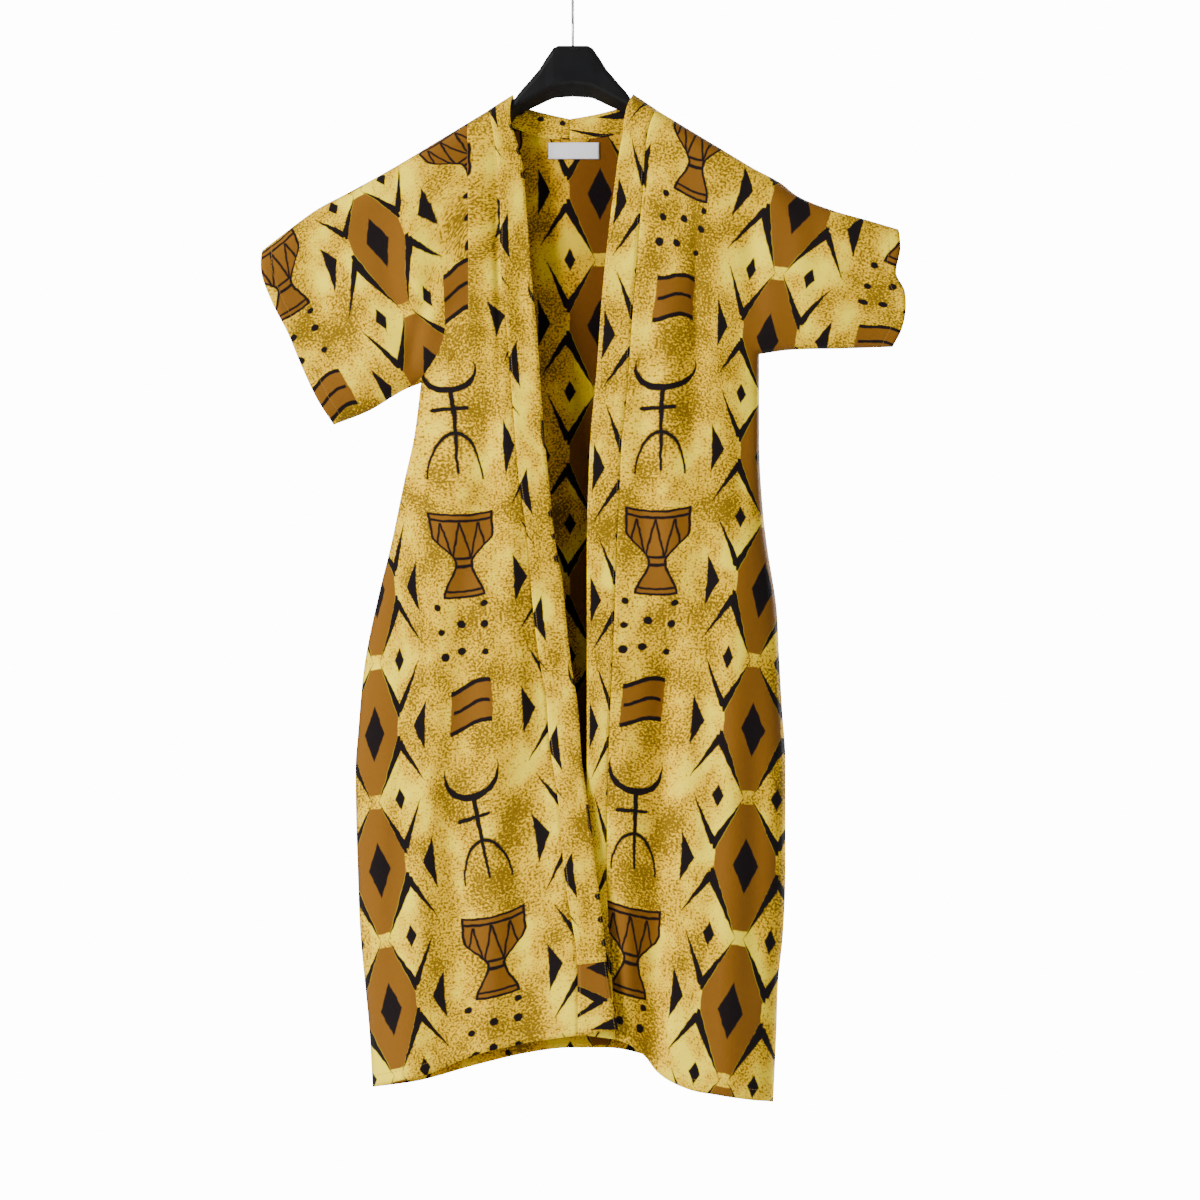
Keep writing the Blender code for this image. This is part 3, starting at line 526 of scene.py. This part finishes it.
def frontPanel(name, which, node):
    lapped = which < 0
    sleeve = sleevePatch(which, lapped)
    upper, lower = frontBody(which, lapped)
    if lapped:
        line = upper[0].copy()
        sleeve[-1], *between, upper[0] = lapColumns(line)
        across, start = np.concatenate([sleeve, between, upper]), len(sleeve) + len(between)
        rise = lapHeight(line[:, 0], line[:, 1])
        onSleeve = lapHeight(sleeve[..., 0], sleeve[..., 1]) * eased(sleeve[..., 1], *sleeveLap["opens"])
        first = onSleeve[-1]
        risen = [first + (rise - first) * share for share in sleeveLap["risen"]]
        lift = np.concatenate([onSleeve, risen, lapHeight(upper[..., 0], upper[..., 1])])
        lowerLift = lapHeight(lower[..., 0], lower[..., 1])
        sleevePrint, stripPrint = layOf["leftSleeve"](sleeve), layOf["leftStrip"](sleeve)
        printed = sleevePrint.copy()
        printed[strip] = stripPrint[strip]
        onBody = layLeftBody(upper)
        turned = [blend(printed[-1], onBody[0], share) for share in sleeveLap["printed"]]
        printed, lowerPrint = np.concatenate([printed, turned, onBody]), layLeftBody(lower)
    else:
        across, start = np.concatenate([sleeve, upper[1:]]), grid["sleeve"]
        lift, lowerLift = np.zeros(across.shape[:2]), np.zeros(lower.shape[:2])
        printed, lowerPrint = layOf["right"](across), layOf["right"](lower)
    points, faces = joined(across, lower), twoGrids(across, lower, start)
    corners = joined(printed, lowerPrint)[faces]
    if lapped:
        sleeveFaces = numbered(grid["sleeve"], across.shape[1] - 1)
        for part, seen in ((sleeveFaces, sleevePrint), (sleeveFaces[strip], stripPrint)):
            corners[part] = seen.reshape(-1, 2)[faces[part]]
    shape = placed(points, -1, "left" if lapped else "right", lift=joined(lift, lowerLift)[:, 0])
    edge = toEdges(points, "Left" if lapped else "Right")
    return clothShell(name, shape, faces, -1, cloth["panel"], corners, edge, node)


def backPanel():
    left, right = sleevePatch(-1, False), sleevePatch(1, False)[::-1]
    upper, lower = backBody()
    across = np.concatenate([left, upper[1:-1], right])
    points, faces = joined(across, lower), twoGrids(across, lower, grid["sleeve"], -grid["sleeve"])
    return clothShell("backCloth", placed(points, 1, "back"), faces, 1, cloth["panel"], layBack(points)[faces],
                      toEdges(points, "Back"), "back_panel")


# The band: its seam and free edge in the print (u), and rows of (y in the picture, v)
bandLay = {
    -1: {"u": (160, 190), "v": [(-16, -100.6), (494, 433), (621, 567), (750, 701), (877, 835), (1100, 1068.5)],
         "back": {"u": (167, 197), "join": 44}},
    1: {"u": (73, 41), "v": [(-16, -193.2), (204, 31), (337.5, 165), (470, 299), (602.5, 433), (727.5, 567),
                             (1100, 944)],
        "back": {"u": (73, 41), "join": -160}},
}
endRows = 14  # the pieced end of the left band, in rows from the hem


def bandPrint(which, front, back):
    table = bandLay[which]
    s = np.linspace(0, 1, grid["band"] + 1)
    places, values = np.array(table["v"], float).T
    v = np.interp(inPicture(front)[..., 1], places, values)
    printed = np.stack([np.broadcast_to(table["u"][0] + (table["u"][1] - table["u"][0]) * s, v.shape), v], axis=-1)
    rows = np.concatenate([front[-1:], back])
    middle = rows[:, grid["band"] // 2] / pixel
    length = np.concatenate([[0], np.cumsum(np.hypot(*np.diff(middle, axis=0).T))])
    v = np.broadcast_to((table["back"]["join"] + length[-1] - length)[:, None], rows.shape[:2])
    u = table["back"]["u"][0] + (table["back"]["u"][1] - table["back"]["u"][0]) * s
    return printed, np.stack([np.broadcast_to(u, v.shape), v], axis=-1)


def bandShell(name, rows, faces, corners, node):
    width = np.linspace(0, 1, grid["band"] + 1)
    edge = np.broadcast_to(cloth["bandWidth"] * np.minimum(width, 1 - width), rows.shape[:2])
    return clothShell(name, rows.reshape(-1, 3), faces, -1, cloth["band"], corners, edge, node)


def bandHalf(name, which, node, skip=0):
    fold = "left" if which < 0 else "right"
    front, back = bandFront(which)[skip:], bandBack(which)
    lift = [lapHeight(row[:, 0], row[:, 1]) if which < 0 else 0.0 for row in front]
    rows = np.concatenate([[placed(row, -1, fold, lift=up) for row, up in zip(front, lift)],
                           [placed(row, 1, "back") for row in back]])
    seamRow = len(front) - 1  # on the shoulder seam
    rows[seamRow, :, 1] = 0
    index = numbered(*rows.shape[:2])
    printed, behind = bandPrint(which, front, back)
    frontFaces, backFaces = gridFaces(index[:seamRow + 1]), gridFaces(index[seamRow:])
    corners = np.concatenate([printed.reshape(-1, 2)[frontFaces],
                              behind.reshape(-1, 2)[backFaces - index[seamRow, 0]]])
    return bandShell(name, rows, np.concatenate([frontFaces, backFaces]), corners, node)


def bandEnd():
    front = bandFront(-1)[:endRows + 1]
    rows = np.array([placed(row, -1, "left") for row in front])
    seen = inPicture(front) - np.array(endLay["seen"])
    uv = np.stack([endLay["lozenge"][0] + seen[..., 1], endLay["lozenge"][1] - seen[..., 0]], axis=-1)
    faces = gridFaces(numbered(*rows.shape[:2]))
    return bandShell("bandEndCloth", rows, faces, uv.reshape(-1, 2)[faces], "band_end_left")


labelCut = {"x": (-30, 32), "drop": (187, 208), "grid": (32, 12), "outwards": -1.1, "pucker": 0.3,
            "waves": [(0.35, 3.1, 9), (0.5, math.inf, 5)]}  # height, mm a radian across, down


def neckLabel():
    (left, right), (top, end) = labelCut["x"], labelCut["drop"]
    x, drop = np.meshgrid(np.linspace(left, right, labelCut["grid"][0]), np.linspace(top, end, labelCut["grid"][1]),
                          indexing="ij")
    points, faces = np.stack([x, drop], axis=-1), gridFaces(numbered(*x.shape))
    pucker = sum(high * np.sin(x / across + drop / down) for high, across, down in labelCut["waves"])
    edge = np.minimum(np.minimum(x - left, right - x), np.minimum(drop - top, end - drop))
    shape = placed(points, 1, "back", labelCut["outwards"] + labelCut["pucker"] * pucker)
    return clothShell("neckLabel", shape.reshape(-1, 3), faces, -1, cloth["label"],
                      (points.reshape(-1, 2) / pixel)[faces], edge, "neck_label")


leftFront = frontPanel("leftFrontCloth", -1, "front_panel_left")
rightFront = frontPanel("rightFrontCloth", 1, "front_panel_right")
backCloth = backPanel()
leftBand = bandHalf("leftBandCloth", -1, "band_left", skip=endRows)
rightBand = bandHalf("rightBandCloth", 1, "band_right")
bandEndCloth = bandEnd()
label = neckLabel()
print("stage: cloth")


# Materials

def wire(tree, socket, value):
    if isinstance(value, Value):
        tree.links.new(value.socket, socket)
    else:
        socket.default_value = value


def newNode(tree, kind, **settings):
    made = tree.nodes.new("ShaderNode" + kind)
    count = len(tree.nodes)
    made.location = (count // 12 * 190, -(count % 12) * 170)
    for name, value in settings.items():
        setattr(made, name, value)
    return made


def built(tree, kind, values, output=0, **settings):  # a node wired to what it reads, and one of its outputs
    made = newNode(tree, kind, **settings)
    for socket, value in values.items() if isinstance(values, dict) else enumerate(values):
        wire(tree, made.inputs[socket], value)
    return Value(tree, made.outputs[output])


class Value:  # a number or a vector in a node tree, with Python's signs for its sums
    def __init__(self, tree, socket):
        self.tree, self.socket = tree, socket

    def does(self, operation, *others, clamp=False):
        return built(self.tree, "Math", (self, *others), operation=operation, use_clamp=clamp)

    def __add__(self, other):
        return self.does("ADD", other)

    def __sub__(self, other):
        return self.does("SUBTRACT", other)

    def __rsub__(self, other):
        return built(self.tree, "Math", (other, self), operation="SUBTRACT")

    def __mul__(self, other):
        return self.does("MULTIPLY", other)

    def __neg__(self):
        return self * -1

    def __abs__(self):
        return self.does("ABSOLUTE")


def least(*values):
    return reduce(lambda a, b: a.does("MINIMUM", b), values)


def most(*values):
    return reduce(lambda a, b: a.does("MAXIMUM", b), values)


def within(value, middle, half):  # below 0 within half of the middle
    return abs(value - middle) - half


def without(shape, cut):
    return most(shape, -cut)


def weighted(u, a, v, b, c):  # a * u + b * v + c
    return u.does("MULTIPLY_ADD", a, v.does("MULTIPLY_ADD", b, c))


def smoothStep(value, start, end):
    return built(value.tree, "MapRange", {"Value": value, "From Min": start, "From Max": end}, "Result",
                 interpolation_type="SMOOTHSTEP")


def between(operation, a, b, output="Vector"):  # of two vectors
    return built((a if isinstance(a, Value) else b).tree, "VectorMath", (a, b), output, operation=operation)


def scaled(tree, place, scale):
    return built(tree, "VectorMath", {0: place, "Scale": scale}, "Vector", operation="SCALE")


def halfPlane(u, v, start, end):  # distance outside the line from start to end, with the inside on its left
    run = (end[0] - start[0], end[1] - start[1])
    length = math.hypot(*run)
    a, b = -run[1] / length, run[0] / length
    return weighted(u, a, v, b, -a * start[0] - b * start[1])


def stroke(place, start, end, startWidth, endWidth):
    run = (end[0] - start[0], end[1] - start[1], 0)
    off = between("SUBTRACT", place, (*start, 0))
    t = between("DOT_PRODUCT", off, run, "Value").does("MULTIPLY", 1 / (run[0] ** 2 + run[1] ** 2), clamp=True)
    far = between("DISTANCE", off, scaled(place.tree, run, t), "Value")
    return far - t.does("MULTIPLY_ADD", (endWidth - startWidth) / 2, startWidth / 2)


def disc(place, centre, radius):
    return between("DISTANCE", place, (*centre, 0), "Value") - radius


def oval(place, centre, radii):
    off = between("MULTIPLY", between("SUBTRACT", place, (*centre, 0)), (1 / radii[0], 1 / radii[1], 0))
    share = between("DISTANCE", off, (0, 0, 0), "Value")
    return share.does("MULTIPLY_ADD", min(radii), -min(radii))


def split(place):
    made = newNode(place.tree, "SeparateXYZ")
    wire(place.tree, made.inputs[0], place)
    return Value(place.tree, made.outputs[0]), Value(place.tree, made.outputs[1])


def noise(place, output="Fac", dimensions="2D", **settings):
    values = {"Vector": place, "Scale": 1.0, **settings}
    return built(place.tree, "TexNoise", values, output, noise_dimensions=dimensions)


def newGroup(name, outputs):
    tree = bpy.data.node_groups.new(name, "ShaderNodeTree")
    tree.interface.new_socket("Place", in_out="INPUT", socket_type="NodeSocketVector")
    for output in outputs:
        tree.interface.new_socket(output, in_out="OUTPUT", socket_type="NodeSocketFloat")
    return tree, Value(tree, tree.nodes.new("NodeGroupInput").outputs["Place"])


def finishGroup(tree, results):
    end = tree.nodes.new("NodeGroupOutput")
    end.location = (len(tree.nodes) // 12 * 190 + 200, 0)
    for name, value in results.items():
        wire(tree, end.inputs[name], value)
    return tree


# The print's shapes, in pixels of the print from each shape's own start
columnPitch = 214
lozenge = {
    "spacing": (columnPitch, 134), "start": (107, 31), "halfHeight": 60.5, "halfEnd": 7, "halfWidth": 30.5,
    "sideTop": -13, "sideEnd": 5, "above": ((31.5, -27), (8, -61), 33), "below": ((8, 61), (33, 21), 34),
    "thorns": [((33, -21), (53, -65), 7.6, 0.5), ((33.5, 13), (59, 52), 7.6, 0.5)],
    "heart": ((12.8, 26.7), 11), "small": ((30, 67), (6, 11.5), 5),
}
triangle = {"tip": 49.5, "base": 62, "middle": -2, "steep": 2}
figure = {
    "spacing": (columnPitch, printRepeat), "from": -52,
    "dots": [((-25, 52), 3.6), ((-25, 76), 3.5), ((-24, 100), 4.4), ((-4, 70), 4.0), ((-7, 96), 4.2),
             ((18, 52), 3.2), ((17, 72), 3.9), ((15, 99), 3.2)],
    "crescent": [((-3, 219.8), 25.4), ((-3, 214.7), 23.5)],
    "arch": [((1.5, 324), (21.6, 43)), ((1.5, 326), (19.8, 40.2))], "archFoot": 323,
    "strokes": [((-1, 241), (3, 318), 5, 2.4), ((-16, 262.5), (10, 260), 4.6, 3.6)],
}
drum = {"middle": (1, 2), "halfHeight": 44, "waist": (12, 8), "flares": [(44, 11), (-22, 20)], "bulge": 0.005,
        "line": (-1.2, 1.3), "rings": [(-34, 1.5), (7, 1.4), (15, 1.8), (39, 1.2)]}
lacing = {"top": -33, "end": 7, "pitch": 8, "shift": 1, "slope": 0.21, "half": 1.1}
patch = {"middle": (-2, 151), "half": (19, 20), "wave": (0.095, 0.75, 5.5), "border": 2.4, "line": 1.9,
         "lineShort": 2.5}
printEdge = {"sharpness": 0.9, "shake": 1.8, "shakeScale": 0.11}


def lozengeShapes(place):
    (wide, high), (startU, startV) = lozenge["spacing"], lozenge["start"]
    u, v = split(place)
    u = abs((u - startU).does("WRAP", wide / 2, -wide / 2))
    v = (v - startV).does("WRAP", high / 2, -high / 2)
    cell, tall = built(place.tree, "CombineXYZ", (u, v)), abs(v)
    height, end, half = lozenge["halfHeight"], lozenge["halfEnd"], lozenge["halfWidth"]
    upper = halfPlane(u, v, (half, lozenge["sideTop"]), (end, -height))
    lower = halfPlane(u, v, (end, height), (half, lozenge["sideEnd"]))
    brown = most(tall - height, u - half, upper, lower)
    black = [without(least(*[stroke(cell, *thorn) for thorn in lozenge["thorns"]]), brown)]
    for (start, stop, aside), inner, beyond in ((lozenge["above"], upper, v - lozenge["sideTop"]),
                                                (lozenge["below"], lower, lozenge["sideEnd"] - v)):
        black.append(most(halfPlane(u, v, start, stop), -inner, u - aside, beyond))
    (halfU, halfV), scale = lozenge["heart"]
    black.append(weighted(u, 1 / halfU, tall, 1 / halfV, -1) * scale)
    (smallU, smallV), (halfU, halfV), scale = lozenge["small"]
    black.append(weighted(abs(u - smallU), 1 / halfU, smallV - tall, 1 / halfV, -1) * scale)
    steep = triangle["steep"] / math.hypot(1, triangle["steep"])
    sides = weighted(abs(v - triangle["middle"]), steep / triangle["steep"], u, -steep, steep * triangle["tip"])
    black.append(most(u - triangle["base"], sides))
    return brown, least(*black)


def drumShapes(u, v):  # a goblet drum with rings and lacing
    (middleU, middleV), (waist, half) = drum["middle"], drum["waist"]
    for end, more in drum["flares"]:
        half = smoothStep(v, waist, end).does("MULTIPLY_ADD", more, half)
    across = abs(u - middleU)
    level = v + across * across * drum["bulge"]
    brown = most(across - half, within(level, middleV, drum["halfHeight"]))
    lines = [within(brown, *drum["line"])] + [within(level, *ring) for ring in drum["rings"]]
    top, end, slope = lacing["top"], lacing["end"], lacing["slope"]
    lace = (u + lacing["shift"]).does("PINGPONG", lacing["pitch"])
    lace = weighted(v, slope, lace, -slope * (end - top) / lacing["pitch"], -slope * top)
    lines.append(most(abs(lace) - lacing["half"], within(v, (top + end) / 2, (end - top) / 2)))
    return brown, most(brown, least(*lines))


def patchShapes(u, v):  # a wavy patch with three lines
    (middleU, middleV), (halfU, halfV), (often, phase, sway) = patch["middle"], patch["half"], patch["wave"]
    depth = abs(v - middleV + u.does("MULTIPLY_ADD", often, phase).does("SINE") * sway)
    aside = within(u, middleU, halfU)
    borders = most(within(depth, halfV, patch["border"]), aside)
    return most(aside, depth - halfV), least(borders, most(depth - patch["line"], aside + patch["lineShort"]))


def figureShapes(place):  # the drum, the dots, the patch, and a crescent on a post with a bar and an arch
    wide, high = figure["spacing"]
    u, v = split(place)
    u = u.does("WRAP", wide / 2, -wide / 2)
    v = v.does("WRAP", figure["from"] + high, figure["from"])
    cell = built(place.tree, "CombineXYZ", (u, v))
    brown, black = zip(drumShapes(u, v), patchShapes(u, v))
    crescent = without(*[disc(cell, *part) for part in figure["crescent"]])
    arch = most(without(*[oval(cell, *part) for part in figure["arch"]]), v - figure["archFoot"])
    dots = [disc(cell, *dot) for dot in figure["dots"]]
    return least(*brown), least(*dots, *black, crescent, arch, *[stroke(cell, *part) for part in figure["strokes"]])


def makePrintGroup():
    tree, place = newGroup("printedShapes", ("Black", "Brown"))
    reach = printEdge["shake"]
    shaking = noise(scaled(tree, place, printEdge["shakeScale"]), "Color", Detail=1)
    shaken = between("ADD", between("MULTIPLY", shaking, (reach, reach, 0)), place)
    shaken = between("SUBTRACT", shaken, (reach / 2, reach / 2, 0))
    shapes = zip(("Brown", "Black"), lozengeShapes(shaken), figureShapes(shaken))
    return finishGroup(tree, {name: least(a, b).does("MULTIPLY_ADD", -printEdge["sharpness"], 0.5, clamp=True)
                              for name, a, b in shapes})


groundLook = {"clouds": (1 / 38, 1 / 54, 0), "detail": 2.5, "roughness": 0.55, "stipple": 1 / 2.2, "speckle": 1.15,
              "column": -0.1, "ochre": (0.21, 0.62), "pale": (0.46, 0.74)}


def makeGroundGroup():
    tree, place = newGroup("ochreClouds", ("Cloud", "Clear"))
    cloud = noise(between("MULTIPLY", place, groundLook["clouds"]), Detail=groundLook["detail"],
                  Roughness=groundLook["roughness"])
    stipple = noise(scaled(tree, place, groundLook["stipple"]), Detail=1)
    column = (split(place)[0] * (2 * math.pi / columnPitch)).does("COSINE")  # 1 along the drums
    clear, speckle = column.does("MULTIPLY_ADD", groundLook["column"], cloud), groundLook["speckle"]
    speckled = clear + stipple.does("MULTIPLY_ADD", speckle, -speckle / 2)
    return finishGroup(tree, {"Cloud": smoothStep(speckled, *groundLook["ochre"]), "Clear": clear})


weaveLook = {"threads": 15, "slubs": (0.9, 0.22, 0), "slubHeight": 1.4}


def makeWeaveGroup():
    tree, place = newGroup("plainWeave", ("Height",))
    across, down = ((part * weaveLook["threads"]).does("SINE") for part in split(place))
    slub = noise(between("MULTIPLY", place, weaveLook["slubs"]))
    return finishGroup(tree, {"Height": slub.does("MULTIPLY_ADD", weaveLook["slubHeight"], across * down)})


printGroup, groundGroup, weaveGroup = makePrintGroup(), makeGroundGroup(), makeWeaveGroup()


def newMaterial(name, roughness, metallic=0.0):
    made = bpy.data.materials.new(name)
    made.use_nodes = True
    shader = made.node_tree.nodes["Principled BSDF"]
    shader.inputs["Roughness"].default_value = roughness
    shader.inputs["Metallic"].default_value = metallic
    return made, made.node_tree, shader


def mixed(tree, share, a, b):
    colours = [(*value, 1) if isinstance(value, tuple) else value for value in (a, b)]
    return built(tree, "Mix", dict(zip((0, 6, 7), (share, *colours))), 2, data_type="RGBA")


def placeGroup(tree, group, place, output):
    return built(tree, "Group", {"Place": place}, output, node_tree=group)


def bumped(tree, shader, height, depth, strength):
    normal = built(tree, "Bump", {"Strength": strength, "Distance": depth, "Height": height}, "Normal")
    wire(tree, shader.inputs["Normal"], normal)


def clothPlace(tree):  # the place in the print, and mm from an edge
    uv = built(tree, "UVMap", (), "UV", uv_map="print")
    return scaled(tree, uv, float(printRepeat)), built(tree, "Attribute", (), "Fac", attribute_name="edge")


dyes = {"pale": (1.0, 0.77, 0.01), "gold": (0.86, 0.50, 0.002), "ochre": (0.21, 0.118, 0.003),
        "brown": (0.20, 0.082, 0.008), "black": (0.008, 0.0045, 0.005)}
# Per-channel darkening of the inside face's dyes: painted shade for the shadow inside the robe, not a colour of the
# cloth.
insidePaintedShade = (0.66, 0.58, 0.6)
clothLook = {"Specular IOR Level": 0.06, "Sheen Weight": 0.02, "Sheen Roughness": 0.4}
clothBump = (0.00012, 0.7)
stitch = {"fromHem": 13, "fromBandEdge": 2.6, "half": 0.45, "often": 2.3, "from": -0.4, "share": 0.55,
          "thread": (0.30, 0.19, 0.04), "furrow": -3, "furrowHalf": 1.6}


def printedCloth(name, stitchAt, roughness, shade=(1, 1, 1)):
    made, tree, shader = newMaterial(name, roughness)
    # shade below 1 darkens every dye: painted shade
    dye = {key: tuple(a * b for a, b in zip(shade, colour)) for key, colour in dyes.items()}
    place, edge = clothPlace(tree)
    cloud, clear = (placeGroup(tree, groundGroup, place, output) for output in ("Cloud", "Clear"))
    base = mixed(tree, cloud, dye["ochre"], dye["gold"])
    base = mixed(tree, smoothStep(clear, *groundLook["pale"]) * cloud, base, dye["pale"])
    for output in ("Brown", "Black"):
        base = mixed(tree, placeGroup(tree, printGroup, place, output), base, dye[output.lower()])
    line, (u, v) = within(edge, stitchAt, stitch["half"]), split(place)
    dash = ((u + v) * stitch["often"]).does("SINE").does("GREATER_THAN", stitch["from"])
    base = mixed(tree, line.does("LESS_THAN", 0) * dash * stitch["share"], base, stitch["thread"])
    wire(tree, shader.inputs["Base Color"], base)
    for socket, value in clothLook.items():
        shader.inputs[socket].default_value = value
    furrow = smoothStep(line, stitch["furrowHalf"], 0) * stitch["furrow"]
    bumped(tree, shader, placeGroup(tree, weaveGroup, place, "Height") + furrow, *clothBump)
    return made


labelLook = {"roughness": 0.7, "dark": (0.70, 0.68, 0.72), "light": (0.86, 0.84, 0.88), "weave": (-1, 2),
             "fold": 2.5, "foldHeight": 4, "bump": (0.00015, 0.8)}


def labelCloth():
    made, tree, shader = newMaterial("labelCloth", labelLook["roughness"])
    place, edge = clothPlace(tree)
    weave = placeGroup(tree, weaveGroup, place, "Height")
    shown = mixed(tree, smoothStep(weave, *labelLook["weave"]), labelLook["dark"], labelLook["light"])
    wire(tree, shader.inputs["Base Color"], shown)
    fold = smoothStep(edge, 0, labelLook["fold"]) * labelLook["foldHeight"]
    bumped(tree, shader, weave + fold, *labelLook["bump"])
    return made


hangerLooks = {
    "mouldedPlastic": {"metallic": 0.0, "marks": {"Scale": 22}, "stretch": (1, 1, 1), "specular": 0.12,
                       "colours": ((0.004, 0.004, 0.0045), (0.008, 0.008, 0.0085)), "roughness": (0.22, 0.30),
                       "grain": {"Scale": 900, "Detail": 3}, "bump": (0.0001, 0.5)},
    "drawnWire": {"metallic": 1.0, "marks": {}, "stretch": (900, 900, 60), "specular": 0.5,
                  "colours": ((0.42, 0.42, 0.43), (0.62, 0.62, 0.63)), "roughness": (0.2, 0.22),
                  "grain": {}, "bump": (0.00005, 0.4)},
}


def hangerMaterial(name):
    look = hangerLooks[name]
    made, tree, shader = newMaterial(name, look["roughness"][1], look["metallic"])
    place = between("MULTIPLY", built(tree, "TexCoord", (), "Object"), look["stretch"])
    marks = noise(place, dimensions="3D", **look["marks"])
    wire(tree, shader.inputs["Base Color"], mixed(tree, marks, *look["colours"]))
    wire(tree, shader.inputs["Roughness"], marks.does("MULTIPLY_ADD", *look["roughness"]))
    shader.inputs["Specular IOR Level"].default_value = look["specular"]
    bumped(tree, shader, noise(place, dimensions="3D", **look["grain"]), *look["bump"])
    return made


waxPrint = printedCloth("waxPrint", stitch["fromHem"], 0.62)
# the inside face: the same print with darkened dyes, painted shade
insidePaintedShadeCloth = printedCloth("waxPrintInsidePaintedShade", stitch["fromHem"], 0.8, insidePaintedShade)
bandPrintCloth = printedCloth("bandPrint", stitch["fromBandEdge"], 0.62)
for pieces, materials in (((leftFront, rightFront, backCloth), (waxPrint, insidePaintedShadeCloth)),
                          ((leftBand, rightBand, bandEndCloth), (bandPrintCloth,)), ((label,), (labelCloth(),))):
    for piece in pieces:
        for made in materials:
            piece.data.materials.append(made)
for node, name in (("hanger", "mouldedPlastic"), ("hook", "drawnWire")):
    made = hangerMaterial(name)
    for slot in bpy.data.objects[node].material_slots:
        slot.material = made
print("stage: materials")


# Studio

studio = {
    "floorDrop": 2420, "floorRadius": 3.0, "floorSides": 48, "floorColour": (0.92, 0.92, 0.92, 1),
    "floorRoughness": 0.9, "backdrop": 14.0, "skyLight": 0.4, "white": (1, 1, 1, 1), "aim": (0.03, 0, -0.75),
    "lights": [("key", (-3.4, -2.9, 0.9), 1.5, 430), ("fill", (2.8, -3.2, 0.2), 2.4, 30),
               ("behind", (2.6, 3.6, 0.8), 2.0, 300)],
}


def makeFloor():
    mesh = bpy.data.meshes.new("floor")
    sides, reach = studio["floorSides"], studio["floorRadius"]
    turns = [2 * math.pi * k / sides for k in range(sides)]
    ring = [(reach * math.cos(turn), reach * math.sin(turn), -studio["floorDrop"] * mm) for turn in turns]
    mesh.from_pydata(ring, [], [tuple(range(sides))])
    floor = bpy.data.objects.new("floor", mesh)
    bpy.context.scene.collection.objects.link(floor)
    white, tree, shader = newMaterial("floorWhite", studio["floorRoughness"])
    shader.inputs["Base Color"].default_value = studio["floorColour"]
    mesh.materials.append(white)


def makeSky():  # white paper for the camera, and a soft light for the rest
    world = bpy.data.worlds.new("studio")
    world.use_nodes = True
    tree = world.node_tree
    sky, paper = tree.nodes["Background"], newNode(tree, "Background")
    for made, strength in ((sky, studio["skyLight"]), (paper, studio["backdrop"])):
        made.inputs["Color"].default_value = studio["white"]
        made.inputs["Strength"].default_value = strength
    choice = newNode(tree, "MixShader")
    tree.links.new(newNode(tree, "LightPath").outputs["Is Camera Ray"], choice.inputs[0])
    tree.links.new(sky.outputs[0], choice.inputs[1])
    tree.links.new(paper.outputs[0], choice.inputs[2])
    tree.links.new(choice.outputs[0], tree.nodes["World Output"].inputs["Surface"])
    bpy.context.scene.world = world


def makeLights():
    for name, place, size, power in studio["lights"]:
        light = bpy.data.objects.new(name, bpy.data.lights.new(name, "AREA"))
        bpy.context.scene.collection.objects.link(light)
        light.data.shape, light.data.size, light.data.energy = "DISK", size, power
        light.location = place
        aim = np.array(studio["aim"]) - np.array(place)
        light.rotation_euler = (math.atan2(np.hypot(aim[0], aim[1]), -aim[2]), 0, math.atan2(-aim[0], aim[1]))


makeFloor()
makeSky()
makeLights()
print("stage: studio")
